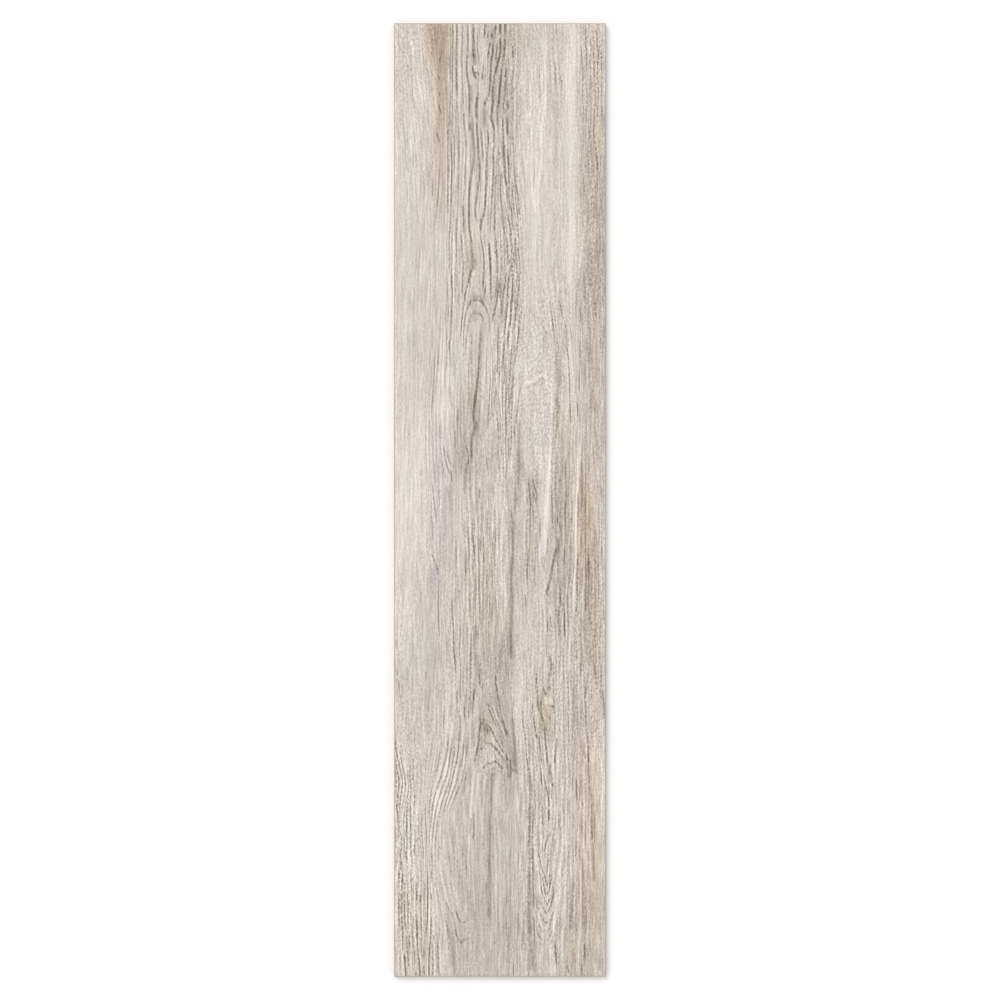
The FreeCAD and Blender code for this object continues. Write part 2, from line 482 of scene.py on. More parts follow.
# Two long seams with soft dark sides, and the grain between them and the right edge
SEAMS = strokes(
    Ink.DARK,
    (1.6, 63, 127, 430, 128.2, 448, 129.6, 458), (1.4, 52, 130.4, 428, 134, 442),
    (1.6, 70, 131.4, 445, 133.6, 451), (1.4, 42, 128, 456, 128.4, 464), (1.0, 60, 138, 469, 138, 487),
    (1.2, 60, 145, 484, 145, 500), (1.3, 85, 153.8, 468, 157.8, 479),
    (2.1, 100, 153, 496, 150.8, 505, 149.2, 514, 148.2, 521, 145.4, 532, 142.2, 543),
    (1.0, 42, 147.4, 533, 152, 547), (1.1, 55, 144.8, 497, 143, 506, 141.4, 516),
    (0.9, 60, 146, 537, 149, 548), (1.3, 75, 146.8, 557, 148.2, 567), (1.4, 90, 145.2, 564, 144.8, 572),
    (1.2, 70, 144.4, 573, 143.6, 584, 144, 597), (1.2, 75, 154.5, 503, 154.6, 518, 154, 530),
    (1.1, 60, 160.6, 498, 160.8, 511), (1.6, 65, 157, 539, 157.4, 549), (1.6, 60, 163.2, 540, 163, 550),
    (1.4, 60, 161, 553, 161, 569), (1.6, 75, 160.6, 570, 161.4, 580), (1.2, 60, 126, 502, 125.8, 529),
    (1.0, 60, 124.2, 539, 124, 550), (1.4, 55, 130.2, 565, 130.4, 571),
    (1.2, 75, 163, 303, 165, 324, 166.6, 380), (1.2, 65, 175.4, 298, 176, 324),
    (1.2, 60, 174.5, 330, 174.5, 346), (1.2, 60, 172.8, 357, 173.5, 371), (1.6, 60, 173.4, 498, 172, 558),
    (1.2, 55, 180.6, 626, 180.4, 640, 182, 668), (1.7, 95, 182, 668, 183, 680, 183, 690, 183.6, 699),
    (1.5, 60, 172, 713, 172.5, 734), (1.2, 75, 175, 720, 175.2, 734),
    (1.2, 50, 131.4, 738, 131, 780, 131.6, 840), (1.5, 80, 131.4, 842, 132.8, 873),
    (1.3, 65, 180, 868, 179.8, 882), (1.4, 65, 177, 884, 177, 899), (1.6, 80, 164, 888, 164.6, 899),
    (1.2, 60, 152, 868, 153, 888), (1.2, 55, 112.4, 888, 113, 900),
) + strokes(
    Ink.SHADE,
    (3.0, 85, 110.2, 458, 112.5, 473, 112, 481, 112.4, 491, 111.9, 500),
    (3.6, 77, 111.9, 498, 110.9, 520, 111, 545, 109.6, 574, 110.3, 586, 110.5, 602),
    (3.6, 59, 115.2, 440, 113.6, 462), (2.7, 90, 154, 486, 155.2, 492, 154.2, 498, 152.2, 502),
    (2.7, 59, 155.4, 551, 154.8, 567),
    (3.9, 59, 151.6, 298, 155, 338, 155, 348, 154.2, 356, 154.8, 363, 154, 370),
    (3.3, 72, 153.6, 368, 153, 393), (2.8, 90, 176.5, 413, 176.8, 425, 176.4, 435, 177.6, 448, 177, 463),
    (3.9, 50, 182.6, 506, 183.1, 517, 182.6, 528), (3.3, 65, 182.6, 527, 181.1, 545, 181, 553),
    (2.7, 59, 168, 601, 169.5, 637, 170, 680, 171, 697), (2.8, 72, 183.6, 698, 184, 719),
    (2.7, 68, 184, 719, 187, 735), (4.8, 72, 187.2, 733, 187.6, 757, 187, 771),
    (3.6, 54, 187.6, 772, 188.6, 784, 189, 797), (3.0, 90, 188.9, 796, 188.8, 809),
    (3.3, 72, 195.8, 628, 197.4, 643, 197.2, 657),
    (3.2, 85, 91.4, 705, 92.4, 719, 89.4, 792, 89.8, 831, 89.5, 845), (2.7, 63, 88, 811, 87.4, 818),
    (4.2, 72, 128, 703, 127.5, 713, 129, 722, 129, 731, 128.4, 760, 127.8, 769, 128, 778, 127, 797),
    (4.2, 85, 127, 795, 128.4, 820, 128.4, 843, 129.4, 862), (2.8, 90, 132.8, 871, 132.7, 884),
    (2.8, 59, 168.8, 806, 167.5, 828, 167.5, 838, 166, 858), (2.7, 54, 179, 798, 179, 840, 178.5, 855),
)

# The large lower knot: a wedge of grain that closes on two dark eyes, with arcs of fine lines between
LARGE_KNOT = strokes(
    Ink.DARK,
    (1.4, 86, 75.8, 628, 75.2, 638), (0.9, 52, 80.4, 613, 81.6, 625),
    (1.5, 65, 96, 615, 96.6, 625, 99.2, 642), (1.8, 65, 99.4, 641, 101.4, 655, 103, 661),
    (1.6, 79, 106, 669, 107, 672.4), (1.3, 60, 88.4, 643, 90.4, 649, 97.2, 665),
    (1.1, 45, 91.4, 643, 99.6, 665, 104.2, 676), (1.0, 37, 96, 646, 102, 663),
    (1.0, 49, 99.6, 671, 103.6, 682), (1.8, 86, 84.2, 656.4, 84.6, 658.6), (1.6, 43, 88.2, 666, 88.8, 669.4),
    (1.5, 86, 89.6, 662.4, 97, 677), (1.3, 74, 96.8, 676, 99.4, 682, 103.8, 689),
    (1.9, 82, 83.4, 657, 80.7, 668, 79.8, 680, 76.5, 693), (1.4, 54, 76.2, 693, 76.4, 696),
    (1.2, 45, 83.6, 672, 83.2, 680, 82, 687),
    (1.8, 77, 84.6, 679.4, 87, 678.6, 90, 679.4, 94.4, 682.6, 98.6, 688, 103.6, 695.4),
    (1.9, 69, 83.4, 704.4, 85.6, 701.2, 89.6, 698.8, 93.4, 697.6, 97.2, 697.6, 101.4, 702.6),
    (2.4, 79, 100.8, 701.4, 101.8, 703), (2.0, 86, 105.8, 689, 107.2, 695.6),
    (1.5, 59, 109.2, 696, 110.6, 704), (1.1, 52, 112.4, 640, 111.6, 650, 111.6, 657),
    (1.3, 86, 121, 655, 122.2, 665, 123.6, 672, 125, 690, 127, 706), (1.1, 69, 144.6, 598, 144.6, 610),
    (1.2, 75, 147.4, 598, 148.4, 607, 148, 616), (1.1, 57, 150.4, 600, 150.2, 640),
    (1.2, 69, 146.4, 612, 146.6, 624), (1.6, 80, 148.2, 625.4, 143.6, 628.4),
    (1.8, 100, 141.4, 629.4, 143.4, 634.6), (1.4, 69, 140, 633, 138.8, 640, 138.4, 647, 138.8, 653),
    (2.0, 84, 139, 653, 141.2, 660), (1.3, 45, 136.2, 641, 136.4, 648), (1.3, 50, 150, 641, 150, 648),
    (1.3, 46, 147, 653, 146.8, 659), (1.4, 66, 141.8, 667, 143.4, 685), (1.9, 100, 143.4, 682, 145.2, 699),
    (1.6, 92, 145, 698, 146.6, 702.6, 148, 699.6), (2.2, 95, 146.6, 701, 146.8, 710),
    (1.0, 69, 141, 708, 143, 720), (1.6, 100, 143.2, 719, 144.8, 727, 146.2, 738),
    (1.2, 92, 146.2, 719, 147, 728), (1.5, 92, 150, 717, 150, 721),
    (1.6, 100, 145.2, 742, 146.2, 747, 145.6, 753, 144.6, 754), (1.1, 69, 148.4, 726, 148.2, 731),
    (1.2, 69, 140.2, 738, 140, 756), (1.3, 98, 147.8, 762, 141.6, 780), (1.1, 69, 140.6, 764, 141, 770),
    (1.2, 86, 131, 643, 131, 651), (1.4, 72, 131.3, 654, 133.6, 669), (1.5, 92, 134.3, 671, 134.5, 675),
    (1.2, 86, 136.4, 671, 139.6, 700), (1.3, 92, 138, 701, 139.6, 720),
    (1.4, 80, 134.2, 612, 134.1, 622, 133, 630), (1.6, 75, 153.4, 658, 153.6, 663),
    (1.4, 69, 153.6, 674, 152.6, 688), (1.4, 75, 151.4, 692, 151.6, 698),
) + strokes(
    Ink.SHADE,
    (2.4, 75, 79.6, 609, 76.6, 622, 76.2, 630, 73.4, 652), (2.8, 98, 102.4, 658, 106.6, 671),
    (2.6, 57, 80.8, 654, 81.6, 660), (6.0, 69, 85, 659, 86, 665, 88, 670),
    (3.0, 46, 103.6, 692, 105.6, 698, 109, 703), (2.8, 57, 111.6, 655, 112.6, 673),
    (3.0, 98, 112.7, 671, 113.9, 687), (4.2, 80, 113.8, 684, 114.6, 703),
    (3.4, 63, 111, 703.6, 114, 705.4, 117, 705.2), (3.0, 80, 110, 702, 109.8, 708, 108.8, 713),
    (2.4, 63, 141, 660, 141.8, 669), (2.0, 42, 134.6, 624, 134.8, 648), (2.7, 100, 149.6, 642, 149.8, 647),
    (2.8, 66, 146.8, 705, 146.8, 718),
) + strokes(
    Ink.PALE,
    (1.4, 100, 101, 643, 104.2, 658, 108, 669), (1.2, 80, 97, 654, 104, 670), (1.1, 80, 92.8, 644, 97, 655.6),
    (1.1, 75, 90.4, 646, 95, 658.6), (1.1, 70, 89.4, 661, 92, 663.6, 94.6, 668.4),
    (1.0, 60, 84.4, 661, 82.8, 667, 81.8, 674), (1.0, 65, 95.6, 677.6, 98.4, 683.4, 104.4, 692.6),
    (1.8, 70, 112.4, 706, 111.8, 716), (1.8, 95, 147.4, 618.6, 147, 627), (3.4, 100, 143, 636, 143.4, 643.8),
    (3.2, 100, 147, 634.6, 147.6, 643.2), (1.2, 70, 145, 654, 146, 672),
)

# Lines that sweep down to the left below the middle
SWEEPS = strokes(
    Ink.DARK,
    (1.3, 50, 45.4, 672, 43, 690, 40, 705, 36.4, 720, 34, 735, 32.4, 750),
    (1.4, 62, 51.4, 674, 50, 690, 46, 705, 41.3, 720, 37, 735, 35.2, 750, 32.4, 778),
    (1.3, 52, 54.4, 676, 53, 690, 51, 705, 46, 720, 41.5, 735, 38, 750, 35, 780),
    (1.3, 54, 57.8, 674, 56.6, 690, 54, 705, 51, 720, 45.5, 735, 42, 750, 37.6, 784),
    (1.3, 52, 61.6, 670, 60, 690, 56.8, 705, 53.5, 720, 49, 735, 45, 750),
    (1.3, 52, 66, 678, 65, 690, 61.7, 705, 58, 720, 51.6, 735, 48, 748),
    (1.3, 40, 69, 679, 68, 690, 66.4, 705, 62, 720, 55, 735, 50.4, 750), (1.4, 66, 75.6, 744, 75, 764),
    (1.7, 76, 75, 762, 74.8, 771), (1.6, 57, 72.6, 748, 72, 757, 72.2, 768), (1.3, 52, 67, 714, 68.2, 706),
) + strokes(
    Ink.PALE,
    (1.7, 95, 52, 684, 49, 705, 44, 720, 39.8, 735, 36.6, 750, 33.6, 782),
    (1.6, 85, 55, 686, 52.6, 705, 48.6, 720, 43.2, 735, 40, 750, 36.4, 786),
    (1.5, 70, 62.5, 686, 59, 705, 55.5, 720, 50.2, 735, 48.4, 752),
    (1.6, 80, 67, 684, 65.4, 698, 62.4, 712, 60, 720, 53.6, 735, 51, 745),
    (1.3, 50, 58, 690, 54.4, 710, 52, 720, 47, 735, 44, 745), (1.3, 60, 68.4, 692, 68, 704, 66.4, 712),
    (1.2, 45, 45, 698, 41.4, 712, 37.4, 728, 35, 742),
    (1.7, 90, 77, 699, 73.6, 728, 72.6, 742, 71.4, 762, 70.8, 790), (1.6, 90, 85.6, 703, 83, 764, 82.6, 790),
    (1.3, 55, 79.6, 704, 77.2, 744, 76.8, 764),
)

# Wavy growth lines of the lower left corner
CORNER_LINES = strokes(
    Ink.DARK,
    (1.4, 90, 0.6, 672, 2, 686, 4, 696, 6, 706, 7.8, 716, 7, 726, 5.2, 737, 4.8, 748),
    (1.3, 80, 0.4, 690, 1.2, 696, 3, 706, 5, 716, 4.2, 726, 3, 736, 2, 746),
    (1.2, 66, 5, 684, 7, 696, 9, 706, 10.6, 716, 10, 726, 8.2, 736, 6.2, 746),
    (1.2, 75, 0.4, 704, 2, 716, 1.6, 726, 0.8, 736),
    (1.2, 60, 12.2, 704, 13.4, 718, 13.4, 726, 11, 736, 10, 746, 9.6, 756),
    (1.2, 60, 15, 692, 15.2, 716, 16, 726, 14, 736, 13, 746), (1.3, 50, 18.2, 692, 18, 720),
    (1.4, 70, 10, 744, 8.6, 757), (1.6, 100, 13, 735, 12.2, 746, 12, 758, 11, 769),
    (1.5, 78, 2.4, 736, 4.6, 760, 3.4, 772), (1.3, 67, 16, 739, 15.6, 753, 16.4, 766),
    (1.0, 50, 20, 728, 18.6, 740), (1.4, 75, 22.4, 757, 22, 761),
    (1.5, 90, 6.4, 764, 7.2, 774, 6.6, 784, 5.4, 790), (1.6, 95, 3.8, 777, 3.6, 785, 1, 801),
    (1.6, 90, 10.8, 779, 10.8, 790), (1.4, 78, 19.4, 775, 18.2, 786), (1.7, 100, 7.2, 792, 6.8, 799),
    (1.3, 78, 5, 798, 4.8, 856), (1.6, 100, 8.2, 802, 6.8, 830, 7, 842), (1.3, 84, 7, 841, 8.3, 876),
    (1.5, 100, 10.6, 809, 10, 832, 11, 859), (1.6, 100, 11.3, 860, 14.2, 892),
    (1.8, 100, 9.8, 878, 11.6, 901), (1.2, 62, 14.8, 858, 16.2, 880),
    (1.2, 67, 17.4, 804, 18.2, 817, 17.8, 827), (1.2, 62, 14.4, 826, 14, 840), (1.3, 78, 19, 842, 19, 854),
    (1.2, 67, 19.4, 872, 19.6, 892), (1.8, 80, 21.4, 818, 22, 829), (1.8, 75, 24.8, 822, 25, 830),
    (1.5, 90, 21.3, 843, 22, 868, 24.6, 893, 24.6, 901), (1.4, 75, 25, 843, 25, 855),
    (1.2, 60, 28.6, 808, 28.4, 827), (1.5, 90, 31.8, 800, 31.8, 830, 30.4, 864),
    (1.4, 75, 28, 870, 28.2, 884), (1.6, 70, 28, 891, 28.4, 897), (1.4, 70, 35.4, 799, 35.4, 812),
    (1.6, 80, 35.1, 821, 35.2, 828), (1.4, 85, 35, 842, 34.4, 862, 33.5, 872), (1.8, 100, 33.4, 870, 33, 901),
    (1.4, 70, 37.6, 860, 37.2, 868), (1.3, 70, 36.4, 868, 36.8, 884, 36.2, 900),
    (1.1, 60, 41.6, 833, 42.6, 858, 42, 866), (1.5, 55, 41.8, 866, 41.6, 875, 42.2, 900),
    (1.8, 80, 20.4, 893, 21, 901),
) + strokes(
    Ink.PALE,
    (1.5, 100, 4, 686, 6, 696, 8, 706, 9.2, 716, 8.4, 726, 7.2, 736, 7, 748),
    (1.4, 90, 9, 696, 11, 706, 12.8, 716, 11.6, 726, 10, 736),
    (1.2, 65, 3.6, 700, 5, 707, 6.2, 716, 5.6, 726, 4, 736), (1.6, 95, 8.8, 814, 8.8, 821),
    (1.8, 90, 3.4, 803, 3.4, 809), (1.3, 60, 12.4, 866, 14.6, 884, 14.6, 898), (1.2, 55, 17, 800, 17.6, 850),
    (1.2, 60, 6.2, 722, 9, 730, 11.4, 722, 12, 712),
)

# Chevrons of the lower right, with their points down
CHEVRONS = strokes(
    Ink.DARK,
    (1.0, 83, 135.6, 781, 141.4, 804), (1.1, 83, 146.6, 786, 144, 802),
    (1.2, 83, 141.4, 802, 144.5, 813.4, 146, 809, 147.2, 800),
    (1.4, 99, 141.6, 815, 143.4, 822.6, 145.6, 819, 147.8, 811, 149.2, 802), (0.9, 66, 139.6, 804, 142, 818),
    (1.0, 83, 138, 812, 139.8, 820, 142, 827, 144.5, 831, 147.4, 825, 149.6, 815, 151, 805),
    (1.3, 94, 141.4, 836, 144, 839.4, 147, 834.6, 149.6, 826, 151.2, 816),
    (0.9, 66, 136.6, 822, 139, 832, 141.6, 837),
    (0.8, 66, 136, 832, 138.6, 842, 142, 848, 146, 848, 149.4, 842, 152, 834, 153.6, 824),
    (1.0, 77, 135.4, 845, 138, 854, 142.6, 858.6, 146, 854, 151.8, 837),
    (0.8, 55, 134.6, 854, 137, 862, 142, 866, 147, 862, 150, 854),
) + strokes(
    Ink.PALE,
    (1.2, 40, 158, 801, 157.2, 814, 155.6, 828, 153.6, 840, 150.6, 851),
    (1.1, 65, 136, 812, 137.4, 824, 140, 837, 142.6, 844, 147, 842, 150, 834, 152, 822),
    (1.1, 65, 134.4, 834, 136.6, 845, 140.4, 852.6, 144.6, 853, 148.6, 846),
    (1.1, 60, 140.4, 818, 143, 826, 146, 824, 149, 812),
)

# Short drying checks
CHECKS = strokes(
    Ink.DARK,
    (1.5, 47, 48.4, 828, 54.6, 841.4), (1.7, 39, 54, 840, 54.6, 842),
    (1.4, 39, 58, 837.4, 63.2, 849, 69.4, 846.4), (1.5, 39, 48.8, 846, 53, 866),
    (1.7, 37, 58.2, 854, 58, 859.6), (1.5, 47, 58.2, 858.6, 62.6, 868),
    (2.3, 44, 62.4, 868.6, 66, 865, 70.6, 863.4), (2.1, 32, 53.6, 857, 54, 860),
    (1.8, 34, 52.8, 868, 52.8, 875),
)

# Pale growth rings and worn highlights
HIGHLIGHTS = strokes(
    Ink.DARK,
    (1.1, 45, 137.5, 43, 137.5, 77), (1.4, 45, 152.2, 38, 152.8, 58), (1.0, 45, 152.8, -1, 152.6, 9),
    (1.6, 50, 158, 53, 158.8, 58), (1.4, 29, 190.8, 4, 191.5, 26),
    (1.3, 35, 190.4, 50, 190.8, 63, 190.4, 73, 189.4, 80), (1.4, 41, 189.4, 78, 188.6, 106, 190, 117),
    (2.0, 44, 190, 116, 192, 140), (1.6, 33, 191.4, 143, 191.8, 156), (1.2, 29, 195, 123, 195.2, 136),
    (1.6, 41, 184.4, 98, 184.4, 110), (1.0, 45, 133.4, 128, 131.5, 158), (1.1, 45, 151.5, 126, 151.6, 141),
    (1.1, 41, 174, 239, 173.8, 252), (1.2, 45, 176.2, 271, 175.8, 283), (1.4, 54, 190, 260, 190.2, 277),
    (1.0, 41, 159.4, 234, 159.2, 244), (1.1, 45, 156.4, 251, 156.5, 258), (1.1, 45, 162, 251, 162.6, 255),
    (1.0, 50, 140, 260, 142.6, 280), (1.5, 63, 146.4, 261, 152, 300), (1.1, 54, 156, 261, 159.8, 279),
    (1.0, 45, 160.4, 280, 164, 294), (1.1, 41, 133, 280.4, 134.6, 282), (1.2, 41, 143.6, 288, 144.6, 299),
    (1.2, 54, 173.6, 440, 173.8, 486),
) + strokes(
    Ink.SHADE,
    (2.0, 30, 125, 344.4, 131, 341.4, 137, 337.4, 143, 334.6),
) + strokes(
    Ink.PALE,
    (1.3, 85, 109.4, 19, 109.4, 31, 108.8, 39, 107, 45, 105.6, 52),
    (1.6, 60, 143.6, 6, 142.6, 35, 143, 50, 142, 76, 139.6, 102, 137.6, 140, 136, 158),
    (1.5, 70, 103, 148, 106, 170, 110, 191), (1.1, 65, 115.6, 111, 118, 132, 119.6, 142),
    (1.1, 50, 175.4, 199, 175.6, 232), (2.0, 70, 109.4, 262, 105.4, 299), (1.3, 75, 105.4, 299, 104.4, 320),
    (2.4, 90, 124, 341.6, 130, 338.4, 136, 334, 143, 331.6), (1.8, 70, 124.6, 336, 129, 342, 129.4, 347),
    (1.3, 70, 122.4, 338, 122.6, 349), (1.3, 60, 133, 384, 135, 381),
    (1.4, 50, 166, 300, 167.6, 312, 168.6, 326, 170.2, 366), (1.1, 60, 163, 315, 163.4, 322),
    (1.3, 60, 148, 351, 148.6, 370), (1.5, 75, 124, 436, 123.6, 450), (1.4, 70, 125.2, 451, 125.6, 460),
    (1.6, 60, 99.2, 437, 98.6, 448, 97.2, 460, 97, 472), (1.3, 60, 110.8, 412, 110.4, 428),
    (2.6, 85, 175, 398, 174.8, 408), (3.2, 100, 174.7, 407, 174.2, 431), (2.2, 70, 174.2, 430, 172, 450),
    (3.0, 100, 172, 449, 171.5, 461, 171.6, 500, 171.2, 514), (2.6, 95, 171.2, 512, 170, 540, 168.3, 560),
    (2.2, 90, 168.3, 559, 165.6, 592, 164.8, 614), (2.4, 70, 143, 398, 143.6, 412),
    (5.0, 55, 146.4, 404, 146.2, 430, 142.6, 476), (3.4, 65, 142.6, 474, 141.2, 504),
    (2.4, 60, 148.6, 398, 147.6, 424), (2.0, 55, 143.2, 444, 141.8, 458), (1.4, 60, 145.6, 548, 147.6, 560),
    (2.2, 85, 176.4, 798, 176, 842), (2.8, 100, 176, 840, 175, 872), (2.6, 80, 175, 870, 174.4, 901),
    (1.2, 45, 124.6, 874, 124.4, 899), (1.4, 70, 174, 724, 174.2, 731), (1.4, 50, 116.4, 728, 115.8, 748),
    (1.1, 55, 62, 506, 62.2, 522), (1.5, 45, 45, 398, 46, 407, 47.6, 415), (1.3, 70, 50.2, 412, 53, 422),
    (1.1, 50, 102, 40, 101.6, 74), (1.0, 50, 68.2, 40, 68.6, 78), (1.5, 45, 106.4, 20, 106.2, 34),
)

# Broad soft streaks, dark and worn pale, between the drawn lines
SOFT_STREAKS = strokes(
    Ink.DARK,
    (1.4, 24, 46, 826, 47, 836, 49, 850, 51, 864, 51.6, 882), (1.2, 50, 186.2, 736, 186.4, 756, 187, 774),
    (1.2, 55, 189.4, 744, 189.4, 757, 189.2, 776),
) + strokes(
    Ink.SHADE,
    (6.5, 38, 76, 568, 78, 600, 83, 630), (6.0, 42, 131.5, 864, 130, 896),
    (3.4, 38, 152, 72, 153, 100, 154, 134), (2.8, 42, 126.5, 656, 126.4, 710),
    (2.6, 40, 126.5, 778, 124.6, 845), (2.4, 52, 107.5, 203, 105.6, 253), (4.6, 34, 54, 860, 55.5, 892),
    (2.4, 38, 91.4, 390, 92, 449), (2.8, 42, 151.3, 462, 150.2, 502), (2.6, 38, 169, 569, 168, 614),
    (2.2, 30, 25.6, 415, 26.4, 480), (2.4, 38, 140.4, 719, 140, 767), (2.4, 42, 71.5, 211, 69.1, 250),
    (2.8, 34, 60, 644, 59.5, 679), (2.2, 38, 109.3, 57, 109, 99), (3.6, 32, 169.8, 871, 168.5, 898),
    (3.0, 30, 52.9, 433, 53.3, 465), (2.4, 40, 45.8, 650, 45.2, 684), (2.4, 34, 99.7, 266, 96.7, 306),
    (1.8, 32, 171.4, 737, 170, 796), (2.0, 38, 151.6, 408, 150.5, 449), (2.4, 26, 85.2, 70, 86, 106),
    (3.2, 45, 135.2, 799, 136.7, 833), (2.0, 36, 9, 759, 11.7, 812), (2.2, 42, 69.8, 63, 71.1, 106),
    (2.2, 38, 72.4, 105, 72.4, 143), (3.2, 28, 14.6, 654, 12.8, 681), (2.4, 30, 118.4, 68, 115.2, 102),
    (2.6, 38, 75.9, 654, 75.6, 682), (2.6, 40, 173.4, 553, 173.2, 579), (3.6, 28, 119.6, 126, 121.6, 148),
    (1.8, 36, 149.5, 644, 150.5, 682), (2.2, 42, 96.5, 382, 96.3, 412), (3.2, 32, 100.7, 704, 101.9, 727),
    (2.5, 44, 80.2, 133, 79.5, 158), (2.1, 42, 176.5, 660, 174.7, 690), (2.0, 36, 184.4, 201, 181.2, 236),
    (2.4, 46, 174.3, 518, 174.1, 543), (2.1, 42, 194.2, 867, 194.5, 895), (2.1, 42, 55.6, 571, 55.7, 599),
    (2.2, 40, 179.4, 235, 178.9, 263), (1.9, 42, 68.4, 295, 68, 325), (2.7, 42, 7.7, 615, 7.4, 637),
    (1.7, 36, 101.2, 740, 100.7, 775), (1.7, 38, 195.4, 361, 194.8, 398), (2.0, 42, 51.1, 763, 50.7, 791),
    (2.4, 40, 84.4, 593, 85, 617), (1.9, 38, 88.8, 122, 87.8, 151), (1.6, 38, 174.1, 796, 173.8, 829),
    (2.1, 38, 29.5, 611, 29.3, 637), (3.4, 36, 193.3, 822, 193.3, 839),
) + strokes(
    Ink.PALE,
    (3.0, 75, 138.2, 435, 137.4, 476, 136.3, 519), (2.6, 60, 158, 463, 156.7, 526),
    (2.4, 50, 179.4, 516, 176.9, 573), (2.4, 50, 165, 611, 168, 654), (3.0, 45, 164.4, 405, 163.3, 444),
    (2.0, 40, 60.3, 484, 62, 537), (3.2, 42, 136.6, 859, 135.4, 896), (1.4, 38, 79.9, 478, 80.7, 553),
    (1.8, 34, 82.7, 449, 83.1, 487), (2.2, 36, 152, 620, 152.2, 650), (2.6, 30, 92.8, 806, 93.3, 834),
    (2.2, 34, 151.3, 527, 151.9, 553), (3.0, 36, 99.8, 637, 101.9, 672), (1.6, 36, 21.3, 520, 21.6, 567),
    (2.0, 36, 54.3, 12, 54.4, 46), (1.6, 40, 63.7, 156, 62.8, 199), (2.2, 36, 47, 409, 46.6, 438),
    (1.6, 38, 162.7, 473, 161.8, 513), (2.4, 36, 157.6, 287, 158.4, 315), (1.9, 40, 168.4, 735, 167.8, 768),
    (1.5, 38, 58.1, 161, 58.1, 200), (1.8, 36, 87.3, 340, 85.4, 376), (1.7, 38, 12.8, 851, 14.2, 882),
    (2.0, 42, 91.1, 44, 91.1, 70), (1.7, 34, 177.8, 64, 178.3, 100), (2.0, 70, 178, 823, 175.9, 866),
    (2.4, 34, 147.2, 645, 146, 668), (1.6, 38, 99.6, 383, 99, 415), (1.6, 42, 121.2, 768, 121.7, 799),
    (1.4, 36, 171.9, 624, 173.1, 662), (1.3, 26, 12.8, 849, 13.7, 880),
)

# Fine growth lines that run side by side between the drawn ones
FANS = (
    Fan(12, 0.9, 0.2, ((1, 30), (6, 100), (12, 160), (18, 235)), ((30, -2), (33, 30), (36, 60), (38.5, 98))),
    Fan(9, 0.9, 0.14, ((3, 225), (3, 320), (3, 430)), ((35, 180), (34, 300), (33, 430))),
    Fan(3, 1.3, 0.26, ((52, -2), (52.4, 60), (52, 110), (51.4, 200)),
        ((57.5, -2), (57.3, 60), (57.6, 110), (56.8, 200))),
    Fan(4, 1.3, 0.34, ((77, 96), (79, 125), (77, 160), (75, 196)),
        ((92, 96), (91, 125), (90, 160), (88, 196))),
    Fan(8, 1.1, 0.5, ((96, 100), (97, 145), (99, 175), (102, 206)),
        ((114, 86), (115.5, 130), (118, 165), (121, 206))),
    Fan(7, 1.4, 0.5, ((97, 200), (97.6, 225), (97, 245), (94, 285)),
        ((119, 200), (119.4, 228), (118.6, 255), (115, 305))),
    Fan(6, 1.4, 0.5, ((97, 296), (95.6, 340), (98.4, 390), (99, 436)),
        ((115, 290), (112, 345), (110.4, 390), (110, 436))),
    Fan(5, 1.1, 0.34, ((124, 430), (125.6, 450), (125, 500), (125, 545)),
        ((136, 425), (138, 450), (136, 500), (136, 545))),
    Fan(7, 1.2, 0.3, ((149, 396), (149, 440), (150, 500)), ((168, 396), (168.4, 440), (167, 500))),
    Fan(4, 1.2, 0.34, ((50, 215), (51, 260), (50, 300), (49, 360)),
        ((63, 215), (61, 260), (59, 300), (59, 360))),
    Fan(5, 1.1, 0.3, ((72, 288), (71, 320), (70, 360), (68, 400)),
        ((92, 284), (93, 320), (92, 360), (88, 400))),
    Fan(10, 1.0, 0.28, ((64, 440), (66, 472), (67.6, 503), (68, 545), (67, 605)),
        ((96, 436), (95.4, 470), (95.8, 503), (96.4, 545), (95, 605))),
    Fan(4, 1.2, 0.45, ((62, 545), (62.4, 600), (63, 662)), ((73, 552), (72.6, 600), (71.8, 655))),
    Fan(4, 1.0, 0.22, ((36.8, 376), (37, 410), (37.4, 440), (39, 500)),
        ((46, 392), (46, 430), (47, 500), (48, 540))),
    Fan(8, 1.1, 0.22, ((93, 752), (94, 800), (94.6, 850), (95, 902)),
        ((122, 752), (121, 800), (121.6, 850), (122, 902))),
    Fan(9, 1.1, 0.28, ((52, 770), (53, 800), (56, 828)), ((84, 744), (84, 800), (84, 850))),
    Fan(7, 1.1, 0.3, ((165.4, 690), (166, 790), (165, 902)), ((184, 700), (183.4, 790), (185, 902))),
    Fan(6, 1.1, 0.26, ((172, 556), (172.6, 620), (173, 692)), ((194, 556), (195, 620), (195.4, 692))),
    Fan(4, 1.0, 0.28, ((151, 590), (152, 690)), ((164, 580), (165, 700))),
    Fan(6, 1.2, 0.4, ((177, -2), (178, 60), (178, 112)), ((196, -2), (196, 60), (195.6, 112))),
    Fan(6, 1.0, 0.25, ((180, 400), (181, 560)), ((196, 400), (196, 560))),
    Fan(6, 1.2, 0.34, ((12.6, 800), (13.6, 850), (16.6, 902)), ((30, 800), (29, 850), (30, 902))),
    Fan(7, 1.2, 0.45, ((12, 736), (12, 770), (13, 806)), ((33, 730), (34, 765), (36, 806))),
    Fan(5, 1.1, 0.26, ((0.8, 684), (2.6, 720), (1.2, 760), (2.6, 806)),
        ((11, 684), (14, 720), (13, 760), (13, 806))),
    Fan(4, 1.0, 0.28, ((150, 262), (153, 290), (157, 330)), ((164, 250), (167, 290), (170, 330))),
)

